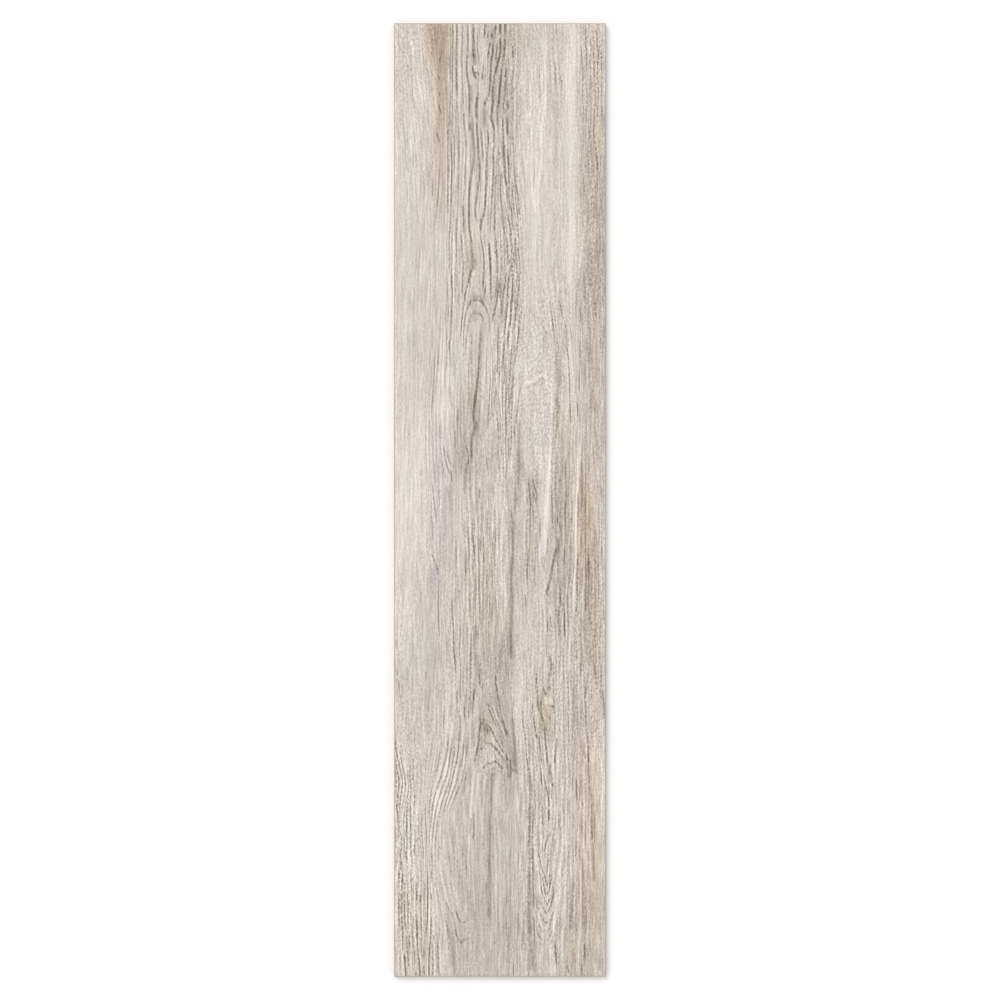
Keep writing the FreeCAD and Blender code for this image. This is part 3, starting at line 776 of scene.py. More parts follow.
GRAIN_LINES = (
    HEART_LINES + HEART_DASHES + ARCHES + RESIN_CHECK + SMALL_KNOT + LEFT_LINES + MIDDLE_DASHES + SEAMS
    + LARGE_KNOT + SWEEPS + CORNER_LINES + CHEVRONS + CHECKS + HIGHLIGHTS + SOFT_STREAKS
    + tuple(line for fan in FANS for line in fan.lines())
)


def patches(layer: Layer, *rows: tuple[float, ...]) -> tuple[Patch, ...]:
    """Patches of one layer.

    Args:
        layer: what they change.
        rows: one for each patch: its amount in per cent, place across and down, half width and half length.

    Returns:
        The patches.
    """
    return tuple(Patch(layer, row[0] / 100, *row[1:]) for row in rows)


# Soft patches of every layer, the ink's first
PATCHES = patches(
    Layer.INK,
    (14, 42, 8, 12, 32), (12, 44.5, 60, 5.5, 42), (7, 33, 14, 6, 36), (12, 42.5, 135, 7, 60),
    (5, 43, 220, 8, 50), (-6, 14, 190, 20, 230), (-6, 12, 440, 14, 60), (6, 86, 60, 22, 70),
    (10, 97, 45, 10, 44), (-8, 85, 30, 3, 18), (-8, 84, 62, 3, 16), (-3, 98, 150, 20, 60),
    (4, 96, 258, 22, 16), (-11, 167, 150, 5, 190), (-7, 142, 90, 4, 70), (-9, 132, 170, 6, 50),
    (-4, 145, 80, 24, 70), (6, 188, 40, 12, 90), (18, 190, 180, 15, 90), (12, 188, 290, 16, 60),
    (12, 188, 400, 16, 90), (-6, 44, 335, 6, 40), (10, 78, 372, 4, 22), (10, 60, 395, 7, 36),
    (8, 72, 412, 10, 20), (-2, 139, 390, 7, 50), (-5, 145, 462, 6, 60), (18, 158, 450, 11, 70),
    (10, 154, 330, 5, 50), (16, 130, 448, 6, 24), (15, 117, 420, 5, 40), (13, 109, 530, 5, 100),
    (2, 88, 530, 24, 90), (8, 51, 470, 5, 60), (20, 183, 510, 8, 60), (10, 190, 560, 14, 70),
    (14, 155, 550, 12, 50), (14, 102, 625, 12, 50), (10, 84, 664, 5, 24), (10, 111, 692, 6, 26),
    (-7, 118, 640, 6, 50), (12, 142, 655, 8, 34), (8, 88, 775, 5, 80), (7, 128, 800, 3, 100),
    (-5, 160, 390, 18, 50), (-4, 178, 750, 20, 60), (10, 80, 850, 32, 70), (-6, 46, 870, 4, 40),
    (12, 188, 740, 14, 170), (8, 178, 860, 24, 50), (3, 15, 660, 24, 90), (10, 9, 20, 14, 60),
    (9, 110, 70, 9, 150), (8, 130, 20, 12, 40), (9, 152, 30, 9, 60), (6, 30, 160, 12, 60),
    (8, 88, 205, 10, 36), (7, 30, 300, 12, 80), (7, 168, 270, 9, 40), (12, 66, 385, 9, 50),
    (-6, 45, 410, 10, 60), (7, 28, 520, 12, 60), (12, 125, 510, 10, 44), (-8, 104, 520, 5, 50),
    (-7, 190, 510, 9, 60), (6, 52, 565, 10, 50), (7, 70, 620, 8, 40), (8, 168, 680, 10, 80),
    (-10, 192, 720, 9, 110), (13, 110, 770, 9, 90), (4, 150, 760, 10, 50), (9, 150, 880, 12, 30),
    (9, 108, 870, 10, 40), (5, 68, 860, 10, 50), (-5, 20, 830, 26, 80), (-4, 15, 480, 24, 80),
    (7, 84, 640, 22, 110), (6, 70, 745, 14, 60), (3, 70, 540, 14, 60), (4, 30, 560, 12, 40),
    (-3, 94, 330, 14, 50), (-7, 8, 565, 12, 30), (-4, 66, 90, 10, 44), (-5, 47, 205, 9, 40),
    (-6, 70, 590, 12, 60), (-6, 190, 445, 9, 40), (7, 90, 745, 10, 44), (3, 10, 330, 14, 60),
    (-6, 168, 445, 8, 30), (-4, 192, 100, 8, 60), (-4, 192, 290, 8, 60), (-5, 192, 860, 8, 40),
    (4, 165, 140, 9, 50), (6, 128, 870, 6, 30), (8, 98, 268, 24, 32), (5, 88, 392, 12, 50),
    (4, 50, 615, 12, 30), (-3, 44, 450, 10, 50), (4, 122, 856, 10, 34), (4, 100, 185, 8, 40),
    (-3, 180, 480, 8, 40), (-6, 104, 806, 14, 36), (3, 141, 655, 8, 30), (4, 110, 678, 10, 30),
    (4, 88, 556, 12, 30), (3, 84, 872, 10, 30), (3, 50, 26, 12, 40), (3, 68, 510, 8, 30),
    (3, 66, 872, 10, 24), (-5, 9, 745, 12, 60), (4, 150, 85, 10, 30), (-3, 144, 651, 7, 11),
    (4, 40, 780, 18, 24), (3, 88, 440, 12, 30), (3, 82, 80, 10, 40), (-15, 181.5, 820, 3, 42),
    (-13, 182.2, 750, 3, 26), (-7, 182, 508, 4, 36), (5, 36, 6, 9, 22), (-4, 106, 872, 8, 24),
) + patches(
    Layer.WARM,
    (110, 41, 12, 13, 34), (90, 44, 60, 6.5, 46), (35, 43, 130, 8, 60), (40, 110, 12, 10, 26),
    (20, 90, 130, 28, 130), (120, 73.5, 222, 3, 22), (30, 191, 60, 9, 90), (35, 190, 180, 12, 80),
    (35, 192, 330, 9, 90), (45, 77, 360, 4, 28), (50, 158, 430, 9, 80), (90, 180, 460, 6, 50),
    (60, 186, 530, 9, 70), (30, 90, 540, 20, 70), (60, 141, 650, 8, 28), (20, 143, 651, 6, 9),
    (50, 83, 662, 6, 22), (25, 190, 640, 9, 70), (60, 186, 790, 14, 110), (35, 20, 860, 20, 60),
    (40, 128, 880, 5, 40), (50, 168, 880, 5, 30), (15, 90, 360, 10, 60),
) + patches(
    Layer.COOL,
    (40, 48.5, 46, 3, 12), (60, 44, 440, 8, 60), (70, 39, 524, 4, 14), (60, 33, 635, 3, 14),
    (50, 130, 190, 4, 24), (50, 141, 490, 4, 24), (50, 117, 694, 4, 16), (50, 102, 665, 5, 20),
    (45, 78, 820, 3, 30), (40, 145, 375, 5, 24),
) + patches(
    Layer.FIBRE,
    (-20, 12, 320, 18, 250), (25, 85, 520, 26, 90), (-15, 166, 130, 8, 200), (-15, 145, 130, 14, 110),
    (-25, 77, 290, 7, 22), (-20, 16, 30, 18, 44), (20, 190, 480, 20, 420), (20, 130, 780, 30, 130),
    (-15, 140, 390, 7, 60), (-25, 168, 140, 5, 130),
) + patches(
    Layer.STIPPLE,
    (28, 16, 24, 20, 44), (35, 8, 770, 10, 90), (25, 28, 800, 14, 90), (20, 8, 690, 10, 40),
    (40, 90, 690, 12, 24), (35, 112, 690, 8, 30), (35, 110, 30, 9, 40), (45, 108, 240, 10, 60),
    (20, 106, 390, 9, 60), (45, 130, 325, 11, 45), (35, 148, 330, 9, 60), (30, 130, 400, 8, 60),
    (30, 148, 400, 8, 50), (60, 190, 30, 10, 40), (30, 186, 150, 12, 60), (30, 190, 250, 10, 40),
    (20, 90, 220, 8, 20), (-30, 77, 290, 7, 24), (35, 128, 790, 4, 90), (35, 150, 610, 9, 76),
    (30, 168, 590, 10, 110), (30, 190, 590, 10, 110), (40, 130, 720, 9, 110), (35, 150, 820, 10, 80),
    (-10, 50, 720, 16, 60), (25, 86, 620, 12, 30), (-30, 22, 240, 26, 200), (-25, 68, 110, 14, 110),
    (-20, 50, 330, 12, 90), (-30, 10, 470, 14, 60), (-25, 32, 590, 12, 50), (-20, 110, 770, 22, 90),
    (-15, 80, 790, 18, 70), (-20, 135, 170, 12, 60), (-20, 165, 120, 12, 120), (-15, 190, 800, 12, 90),
) + patches(
    Layer.RINGS,
    (16, 60, 160, 14, 160), (20, 108, 120, 10, 120), (20, 109, 300, 10, 110), (10, 48, 360, 14, 90),
    (10, 84, 340, 14, 70), (22, 80, 490, 18, 60), (16, 160, 500, 22, 120), (12, 54, 700, 18, 60),
    (26, 20, 840, 26, 80), (20, 150, 780, 26, 130),
) + patches(
    Layer.SAW,
    (90, 103, 500, 7, 60), (90, 104, 615, 9, 26), (50, 90, 630, 9, 26), (60, 86, 830, 7, 60),
)


@dataclass(frozen=True)
class Stretch:
    """A stretch of the face's grid: where it ends, and how far apart its lines are."""

    end: float
    pitch: float


@dataclass(frozen=True)
class FaceGrid:
    """The grid of points that the printed face is worked out on, closer where the grain is fine or turns.

    Attributes:
        width: the tile's width.
        length: the tile's length.
        margin: how far inside the edges the face ends.
        columns: the stretches across.
        rows: the stretches down.
    """

    width: float
    length: float
    margin: float
    columns: tuple[Stretch, ...] = (Stretch(50, 0.75), Stretch(120, 0.50), Stretch(math.inf, 0.80))
    rows: tuple[Stretch, ...] = tuple(Stretch(end, pitch) for end, pitch in (
        (34, 3.8), (56, 1.8), (198, 4.0), (244, 2.6), (290, 1.8), (328, 4.2), (348, 2.0), (400, 4.4),
        (436, 2.6), (600, 4.8), (640, 3.2), (712, 1.9), (790, 3.6), (836, 2.6), (870, 1.8), (math.inf, 3.6),
    ))

    def spread(self, stretches: tuple[Stretch, ...], size: float) -> np.ndarray:
        """The places of the grid's lines along one side.

        Args:
            stretches: how the side is divided.
            size: the tile's size along it.

        Returns:
            The places, from one margin to the other.
        """
        start = self.margin
        runs = []
        for stretch in stretches:
            end = min(stretch.end, size - self.margin)
            count = max(1, round((end - start) / stretch.pitch))
            runs.append(np.linspace(start, end, count, endpoint=False))
            start = end
        return np.concatenate([*runs, [start]])

    def across(self) -> np.ndarray:
        """The places of the columns."""
        return self.spread(self.columns, self.width)

    def down(self) -> np.ndarray:
        """The places of the rows."""
        return self.spread(self.rows, self.length)


@dataclass(frozen=True)
class Hills:
    """Soft noise of one size, long with the fibres.

    Attributes:
        width: how wide a hill is.
        length: how long it is.
        strength: how far it rises, and how far a hollow falls.
        seed: picks the noise.
    """

    width: float
    length: float
    strength: float
    seed: int

    def at(self, place: np.ndarray, down: np.ndarray) -> np.ndarray:
        """The noise at points, by the places of their fibres and their own places down."""
        return self.strength * smooth_noise(place / self.width, down / self.length, self.seed)


@dataclass(frozen=True)
class WoodPrint:
    """The printed and structured oak grain of the face, worked out at every point of its grid.

    Attributes:
        lines: the drawn grain lines.
        patches: the soft patches of tone, colour and texture.
        base: the levels that the layers start from.
        reach: how far across and down a drawn line leads the grain beside it.
        calm: how much straight grain is mixed in where no line leads.
        steepest: the most that a drawn line makes the grain lean.
        memory: over what length the grain forgets how it was led aside.
        streaks: the broad streaks of tone.
        fray: how far patches are frayed sideways along the fibres.
        thinned: how dense fibres led apart still lie where straight noise sets in, and where it is alone.
        follow: how far the columns of the grid go along with their fibres.
        soften: over how many columns, an odd number, that is evened out.
        edge: how far from the long edges the columns start to do so.
        border: how far round its points a line is worked out, in its widths.
        taper: over what share of its run a line would grow from nothing to its full width.
        tip: the share of its width and depth that it already has at its ends.
        flank: the depth of a dark line's pale flanks, as a share of its own; print and painted highlight.
        flank_gap: how far from its middle they lie, in half widths.
        firmness: the power that a line's depth is raised to; below 1, faint lines are drawn firmer.
        shade_ink: the ink of a full shade.
        groove: how deep a full dark line is pressed.
        swell: the long hollows of the surface.
        fibres: the fine hollows between fibres.
    """

    lines: tuple[GrainLine, ...] = GRAIN_LINES
    patches: tuple[Patch, ...] = PATCHES
    base: dict[Layer, float] = field(default_factory=lambda: {
        Layer.INK: 0.33,
        Layer.FIBRE: 0.70,
        Layer.STIPPLE: 0.67,
        Layer.RINGS: 0.05,
    })
    reach: Point = (6.0, 16.0)
    calm: float = 6.0
    steepest: float = 0.9
    memory: float = 150.0
    streaks: tuple[Hills, ...] = (
        Hills(14.0, 220.0, 0.030, seed=20),
        Hills(5.0, 110.0, 0.035, seed=21),
        Hills(2.4, 60.0, 0.030, seed=22),
    )
    fray: Hills = Hills(2.0, 45.0, 2.2, seed=5)
    thinned: Range = (0.85, 0.50)
    follow: float = 0.85
    soften: int = 17
    edge: float = 12.0
    border: float = 2.0
    taper: float = 0.12
    tip: float = 0.35
    flank: float = 0.42
    flank_gap: float = 2.1
    firmness: float = 0.7
    shade_ink: float = 0.32
    groove: float = 0.07
    swell: Hills = Hills(16.0, 130.0, 0.05, seed=11)
    fibres: Hills = Hills(1.6, 24.0, 0.02, seed=12)

    def layer(self, layer: Layer, across: np.ndarray, down: np.ndarray) -> np.ndarray:
        """The sum of a layer's patches on top of its base level.

        Args:
            layer: which layer.
            across: the points' places across.
            down: the points' places down.

        Returns:
            The layer's level at each point.
        """
        total = np.full(across.shape, self.base.get(layer, 0.0))
        for patch in self.patches:
            if patch.layer is layer:
                total += patch.amount * patch.cover(across, down)
        return total

    def lean(self, across: np.ndarray, down: np.ndarray) -> np.ndarray:
        """How far the grain goes to the right for each millimetre down.

        Each stretch of a drawn line pulls the grain near it to its own direction, less and less as a bell
        across and down. What no line pulls stays straight.

        Args:
            across: the places of the columns.
            down: the places of the rows.

        Returns:
            The lean at each point of the grid, one row for each of its rows.
        """
        ends = [np.array(line.points, float) for line in self.lines]
        start = np.concatenate([path[:-1] for path in ends])
        step = np.concatenate([np.diff(path, axis=0) for path in ends])
        length = np.abs(step[:, 1])
        fall = np.where(step[:, 1] == 0, 1, step[:, 1])
        slope = np.clip(step[:, 0] / fall, -self.steepest, self.steepest)
        middle = start + step / 2
        near_across = np.exp(-((across[:, None] - middle[:, 0]) / self.reach[0]) ** 2)
        near_down = np.exp(-((down[:, None] - middle[:, 1]) / self.reach[1]) ** 2)
        pull = (near_down * length) @ near_across.T
        return (near_down * (length * slope)) @ near_across.T / (pull + self.calm)

    def grain_place(self, across: np.ndarray, down: np.ndarray) -> np.ndarray:
        """Which fibre lies at each point, by its place across at the top end.

        Row by row down the plank, a point takes the fibre of the row above that the lean leads to it, then
        gives back a little of its shift, so that the fibres keep about one width.

        Args:
            across: the places of the columns.
            down: the places of the rows.

        Returns:
            The place of each point's fibre, one row for each row of the grid.
        """
        leans = self.lean(across, down)
        shift = np.zeros(len(across))
        shifts = [shift]
        for step, lean in zip(np.diff(down), leans[1:]):
            moved = lean * step
            shift = np.interp(across - moved, across, shift) + moved
            shift = shift * (1 - step / self.memory)
            shifts.append(shift)
        return across - np.array(shifts)

    def columns(self, place: np.ndarray, across: np.ndarray) -> np.ndarray:
        """Where the columns of points run: most of the way with their fibres, so that few rows are enough.

        Args:
            place: the place of the fibre at each point of the even grid.
            across: the places of the columns of the even grid.

        Returns:
            The place across of each point, one row for each row of the grid.
        """
        kernel = np.hanning(self.soften + 2)[1:-1]
        kernel /= kernel.sum()
        followed = np.array([np.interp(across, np.maximum.accumulate(row), across) for row in place])
        padded = np.pad(followed - across, ((0, 0), (self.soften // 2, self.soften // 2)), mode="edge")
        led = self.follow * np.array([np.convolve(row, kernel, "valid") for row in padded])
        inside = np.minimum(across - across[0], across[-1] - across) / self.edge
        return across + led * np.clip(inside, 0, 1)

    def drawn(self, ink: Ink, x: np.ndarray, down: np.ndarray) -> np.ndarray:
        """The drawn lines of one ink, each as a ridge of its depth, and where they meet the higher one.

        A ridge is a bell, e to the minus the square of the distance from its middle in half widths, and
        narrows towards its two ends. A dark line also has a faint pale flank on each side: print, and a
        painted highlight where the rims of its groove would catch the light.

        Args:
            ink: which lines.
            x: the points' places across, one row for each row of the grid.
            down: the places of the rows.

        Returns:
            The height at each point of the grid, one row for each of its rows.
        """
        total = np.zeros(x.shape)
        for line in self.lines:
            flank = ink is Ink.PALE and line.ink is Ink.DARK
            if line.ink is not ink and not flank:
                continue
            path = smooth_path(np.array(line.points, float))
            low = path.min(0) - self.border * line.width
            high = path.max(0) + self.border * line.width
            rows = slice(*np.searchsorted(down, (low[1], high[1])))
            if rows.start == rows.stop:
                continue
            near = np.flatnonzero((x[rows].max(0) > low[0]) & (x[rows].min(0) < high[0]))
            if not near.size:
                continue
            block = total[rows, near[0]:near[-1] + 1]
            start = path[:-1]
            step = path[1:] - start
            u = x[rows, near[0]:near[-1] + 1, None] - start[:, 0]
            v = down[rows, None, None] - start[:, 1]
            t = np.clip((u * step[:, 0] + v * step[:, 1]) / (step ** 2).sum(1), 0, 1)
            gap = np.hypot(u - t * step[:, 0], v - t * step[:, 1])
            nearest = gap.argmin(-1)[..., None]
            gap = np.take_along_axis(gap, nearest, -1)[..., 0]
            run = (nearest + np.take_along_axis(t, nearest, -1))[..., 0] / len(step)
            taper = np.clip(np.minimum(run, 1 - run) / self.taper + self.tip, 0, 1)
            half = line.width / 2 * taper
            ridge = np.exp(-(gap / half) ** 2)
            # Pale flanks of dark lines: print, and a painted highlight on the rims of their grooves
            if flank:
                ridge = self.flank * np.exp(-((gap - self.flank_gap * half) / half) ** 2)
            np.maximum(block, line.depth ** self.firmness * taper * ridge, out=block)
        return total

    def relief(self, place: np.ndarray, down: np.ndarray, dark_lines: np.ndarray) -> np.ndarray:
        """How far each point lies below the highest plane of the face.

        Dark lines are grooves, and soft hollows of two sizes of noise lie between them.

        Args:
            place: the points' fibres, by their places.
            down: the points' places down.
            dark_lines: the height of the drawn dark lines at the points.

        Returns:
            The depth at each point, never below 0.
        """
        hollows = sum(hills.at(place, down) + hills.strength for hills in (self.swell, self.fibres))
        return hollows + self.groove * dark_lines

    def values(self, across: np.ndarray,
               down: np.ndarray) -> tuple[np.ndarray, dict[str, np.ndarray], np.ndarray]:
        """Everything that the glaze reads at the grid's points, and the relief there.

        Args:
            across: the places of the columns.
            down: the places of the rows.

        Returns:
            The points' places across, the attributes by name, with a row of three values for each point, and
            the depths.
        """
        even = self.grain_place(across, down)
        x = self.columns(even, across)
        y = np.repeat(down[:, None], len(across), 1)
        place = np.array([np.interp(at, across, row) for at, row in zip(x, even)])
        spread = np.gradient(even, across, axis=1)
        dense = np.array([np.interp(at, across, row) for at, row in zip(x, spread)])
        sets_in, alone = self.thinned
        fresh = np.clip((sets_in - dense) / (sets_in - alone), 0, 1)
        frayed = x + self.fray.at(place, y)
        dark_lines = self.drawn(Ink.DARK, x, down)
        shades = self.drawn(Ink.SHADE, x, down)
        level = {layer: self.layer(layer, frayed, y) for layer in Layer}
        for streak in self.streaks:
            level[Layer.INK] += streak.at(place, y)
        level[Layer.INK] += self.shade_ink * shades
        triples = {
            "grain": (place, y, fresh),
            "print": (level[Layer.INK], dark_lines, self.drawn(Ink.PALE, x, down)),
            "figure": (level[Layer.FIBRE], level[Layer.STIPPLE], level[Layer.RINGS]),
            "tint": (level[Layer.WARM], level[Layer.COOL], level[Layer.SAW]),
        }
        rows = {name: np.stack(triple, -1).reshape(-1, 3) for name, triple in triples.items()}
        return x, rows, self.relief(place, y, dark_lines)


@dataclass(frozen=True)
class PrintedGlaze:
    """Matt glaze over ink-jet printed oak grain, fired onto porcelain.

    It gives the eye a dry, even surface with no mirror in it, on which pale greige ink lies in fibres, pores,
    rings and stipple. The patterns run on the face's own grain attribute, which is in millimetres and follows
    the flow of the wood, so fibres bend round knots. Real fibres are about 0.2 mm wide. They are drawn nearly
    2 mm wide, because finer ones would not show in the render.

    Attributes:
        turn: by how much the noise is turned, so that its lattice doesn't show as rows.
        fibre: the width and length of a fibre, as stipple and hue are of a fleck and of a streak of hue.
        fibre_finer: how strong each finer noise is in the fibres, as a share of the one before.
        ring_tones: the level between two rings, and the level on one.
        beading: how far strong stipple breaks a drawn line into beads.
        fraying: how strong a drawn line is at each of the fibre levels.
        least_ridge: how faint a drawn line still shows.
        saw_length: over what length across a saw mark changes.
        inked: the amounts of ink at which the glaze has its first and its second roughness.
        pore_depth: how deep a full amount of ink lies.
    """

    name: str = "matt_printed_glaze"
    turn: tuple[float, float, float] = (0.0, 0.0, 0.6)
    detail: float = 3.0
    fibre: Point = (1.8, 25.0)
    fibre_finer: float = 0.62
    stipple: Point = (1.6, 2.6)
    stipple_finer: float = 0.6
    ring_pitch: float = 4.2
    ring_waver: float = 60.0
    ring_bend: float = 4.0
    ring_detail: float = 2.0
    ring_finer: float = 1.6
    ring_tones: Range = (1.1, 0.2)
    beading: float = 2.4
    fibre_levels: Range = (0.25, 0.75)
    fraying: Range = (0.8, 1.2)
    least_ridge: float = 0.05
    dark_ink: float = 0.58
    pale_ink: float = 0.25
    saw_pitch: float = 1.7
    saw_length: float = 250.0
    saw_bend: float = 2.0
    saw_ink: float = 0.20
    tones: tuple[tuple[float, str], ...] = (
        (0.00, "#F9F1E8"),
        (0.15, "#E5DBD2"),
        (0.32, "#D0C6BC"),
        (0.50, "#B9AEA4"),
        (0.68, "#9F9389"),
        (0.85, "#867A71"),
        (1.00, "#6B6058"),
    )
    warm: str = "#F8F0E5"
    cool: str = "#ECEBF4"
    rose: str = "#FFFCFE"
    green: str = "#FDFEFD"
    hue: Point = (12.0, 90.0)
    hue_levels: Range = (0.3, 0.7)
    inked: Range = (0.1, 0.9)
    roughness: Range = (0.52, 0.66)
    ior: float = 1.5
    bump: float = 0.5
    pore_depth: float = 0.04

    def streaks(self, tree: bpy.types.NodeTree, spaces: tuple[tuple[bpy.types.NodeSocket, float], ...],
                fresh: bpy.types.NodeSocket, size: Point, finer: float) -> bpy.types.NodeSocket:
        """Soft noise in grains of one size, led by the flow, and straight where the flow would stretch it.

        Args:
            tree: the material's node tree.
            spaces: the led and the straight coordinates, each with its length of a millimetre.
            fresh: the share of the straight one.
            size: the width and length of a grain.
            finer: how strong each finer noise is, as a share of the one before.

        Returns:
            The noise, about 0.5.
        """
        noises = []
        for vector, unit in spaces:
            scale = (1 / (size[0] * unit), 1 / (size[1] * unit), 1.0)
            place = add(tree, "Mapping", {"Vector": vector, "Scale": scale, "Rotation": self.turn}).outputs[0]
            noises.append(add(tree, "TexNoise", {"Vector": place, "Scale": 1.0, "Detail": self.detail,
                                                 "Roughness": finer}, noise_dimensions="2D").outputs[0])
        return add(tree, "Mix", {0: fresh, 2: noises[0], 3: noises[1]}).outputs[0]

    def make(self) -> bpy.types.Material:
        """Builds the material.

        Returns:
            The material.
        """
        material = empty_material(self.name)
        tree = material.node_tree
        flow = add(tree, "Attribute", {}, attribute_name="grain").outputs["Vector"]
        straight = add(tree, "TexCoord", {}).outputs["Object"]
        fresh = add(tree, "SeparateXYZ", {0: flow}).outputs[2]
        spaces = ((flow, 1.0), (straight, MM))
        printed = add(tree, "Attribute", {}, attribute_name="print").outputs["Vector"]
        figure = add(tree, "Attribute", {}, attribute_name="figure").outputs["Vector"]
        tint = add(tree, "Attribute", {}, attribute_name="tint").outputs["Vector"]
        levels = add(tree, "SeparateXYZ", {0: printed}).outputs
        tints = add(tree, "SeparateXYZ", {0: tint}).outputs

        # Fibres are long streaks with the grain, and stipple is the mottle of ray flecks and worn pores
        fibre = self.streaks(tree, spaces, fresh, self.fibre, self.fibre_finer)
        stipple = self.streaks(tree, spaces, fresh, self.stipple, self.stipple_finer)

        # Rings: growth lines a few millimetres apart, narrow and dark on a paler ground
        ring_size = (WAVE / self.ring_pitch, 1 / self.ring_waver, 1.0)
        ring_place = add(tree, "Mapping", {"Vector": flow, "Scale": ring_size}).outputs[0]
        wave = add(tree, "TexWave", {"Vector": ring_place, "Scale": 1.0, "Distortion": self.ring_bend,
                                     "Detail": self.ring_detail, "Detail Scale": self.ring_finer}).outputs[1]
        rings = add(tree, "MapRange", {"Value": wave, **between((0.0, 1.0), self.ring_tones)},
                    interpolation_type="SMOOTHSTEP").outputs[0]

        # Each texture about zero, weighted by how much of it the place on the face has
        textures = add(tree, "CombineXYZ", {0: fibre, 1: stipple, 2: rings}).outputs[0]
        middle, ones = (0.5, 0.5, 0.5), (1.0, 1.0, 1.0)
        about_zero = add(tree, "VectorMath", {0: textures, 1: middle}, operation="SUBTRACT").outputs[0]
        shares = add(tree, "VectorMath", {0: about_zero, 1: figure}, operation="MULTIPLY").outputs[0]
        weighted = add(tree, "VectorMath", {0: shares, 1: ones}, operation="DOT_PRODUCT").outputs["Value"]

        # Drawn lines get ragged edges where fibres cross them, and break into beads where stipple is strong
        flecked = add(tree, "SeparateXYZ", {0: shares}).outputs[1]
        beads = add(tree, "Math", {0: flecked, 1: self.beading, 2: 1.0}, operation="MULTIPLY_ADD").outputs[0]
        fraying = between(self.fibre_levels, self.fraying)
        frayed = add(tree, "MapRange", {"Value": fibre, **fraying}).outputs[0]
        ragged = add(tree, "Math", {0: frayed, 1: beads}, operation="MULTIPLY").outputs[0]
        inks = []
        # The pale ink also carries the dark lines' flanks, which are partly a painted highlight
        for height, full in ((levels[1], self.dark_ink), (levels[2], self.pale_ink)):
            ridge = add(tree, "Math", {0: height, 1: ragged}, operation="MULTIPLY").outputs[0]
            ranges = between((self.least_ridge, 1.0), (0.0, full))
            inks.append(add(tree, "MapRange", {"Value": ridge, **ranges}).outputs[0])

        # Saw marks: faint bands straight across, where the face has them
        saw_size = (1 / self.saw_length, WAVE / self.saw_pitch, 1.0)
        saw_place = add(tree, "Mapping", {"Vector": flow, "Scale": saw_size}).outputs[0]
        saw = add(tree, "TexWave", {"Vector": saw_place, "Scale": 1.0, "Distortion": self.saw_bend,
                                    "Detail": 1.0}, bands_direction="Y").outputs[1]
        saw_zero = add(tree, "Math", {0: saw, 1: 0.5}, operation="SUBTRACT").outputs[0]
        sawn = add(tree, "Math", {0: saw_zero, 1: tints[2]}, operation="MULTIPLY").outputs[0]

        # The sum of the ink, and its colour
        toned = add(tree, "Math", {0: levels[0], 1: weighted}, operation="ADD").outputs[0]
        lined = add(tree, "Math", {0: toned, 1: inks[0]}, operation="ADD").outputs[0]
        worn = add(tree, "Math", {0: lined, 1: inks[1]}, operation="SUBTRACT").outputs[0]
        ink = add(tree, "Math", {0: sawn, 1: self.saw_ink, 2: worn}, operation="MULTIPLY_ADD").outputs[0]
        ramp = add(tree, "ValToRGB", {0: ink})
        for place, _ in self.tones[1:-1]:
            ramp.color_ramp.elements.new(place)
        for stop, (place, code) in zip(ramp.color_ramp.elements, self.tones):
            stop.position = place
            stop.color = linear(code)

        # The ink's hue drifts from green to rose in long faint streaks
        hue_size = (1 / self.hue[0], 1 / self.hue[1], 1.0)
        drift = add(tree, "Mapping", {"Vector": flow, "Scale": hue_size}).outputs[0]
        hue = add(tree, "TexNoise", {"Vector": drift, "Scale": 1.0}, noise_dimensions="2D").outputs[0]
        rosy = add(tree, "MapRange", {"Value": hue, **between(self.hue_levels)}).outputs[0]
        hues = add(tree, "Mix", {0: rosy, 6: linear(self.green), 7: linear(self.rose)},
                   data_type="RGBA").outputs[2]
        colour = ramp.outputs[0]
        for share, tinge in ((tints[0], linear(self.warm)), (tints[1], linear(self.cool)), (1.0, hues)):
            colour = add(tree, "Mix", {0: share, 6: colour, 7: tinge}, data_type="RGBA",
                         blend_type="MULTIPLY").outputs[2]

        # Inked pores are a little rougher and lower than the bare glaze
        rough = add(tree, "MapRange", {"Value": ink, **between(self.inked, self.roughness)}).outputs[0]
        lower = add(tree, "Bump", {"Strength": self.bump, "Distance": self.pore_depth * MM, "Height": ink},
                    invert=True).outputs[0]
        glaze = add(tree, "BsdfPrincipled", {"Base Color": colour, "Roughness": rough, "IOR": self.ior,
                                             "Normal": lower})
        add(tree, "OutputMaterial", {"Surface": glaze.outputs[0]})
        return material


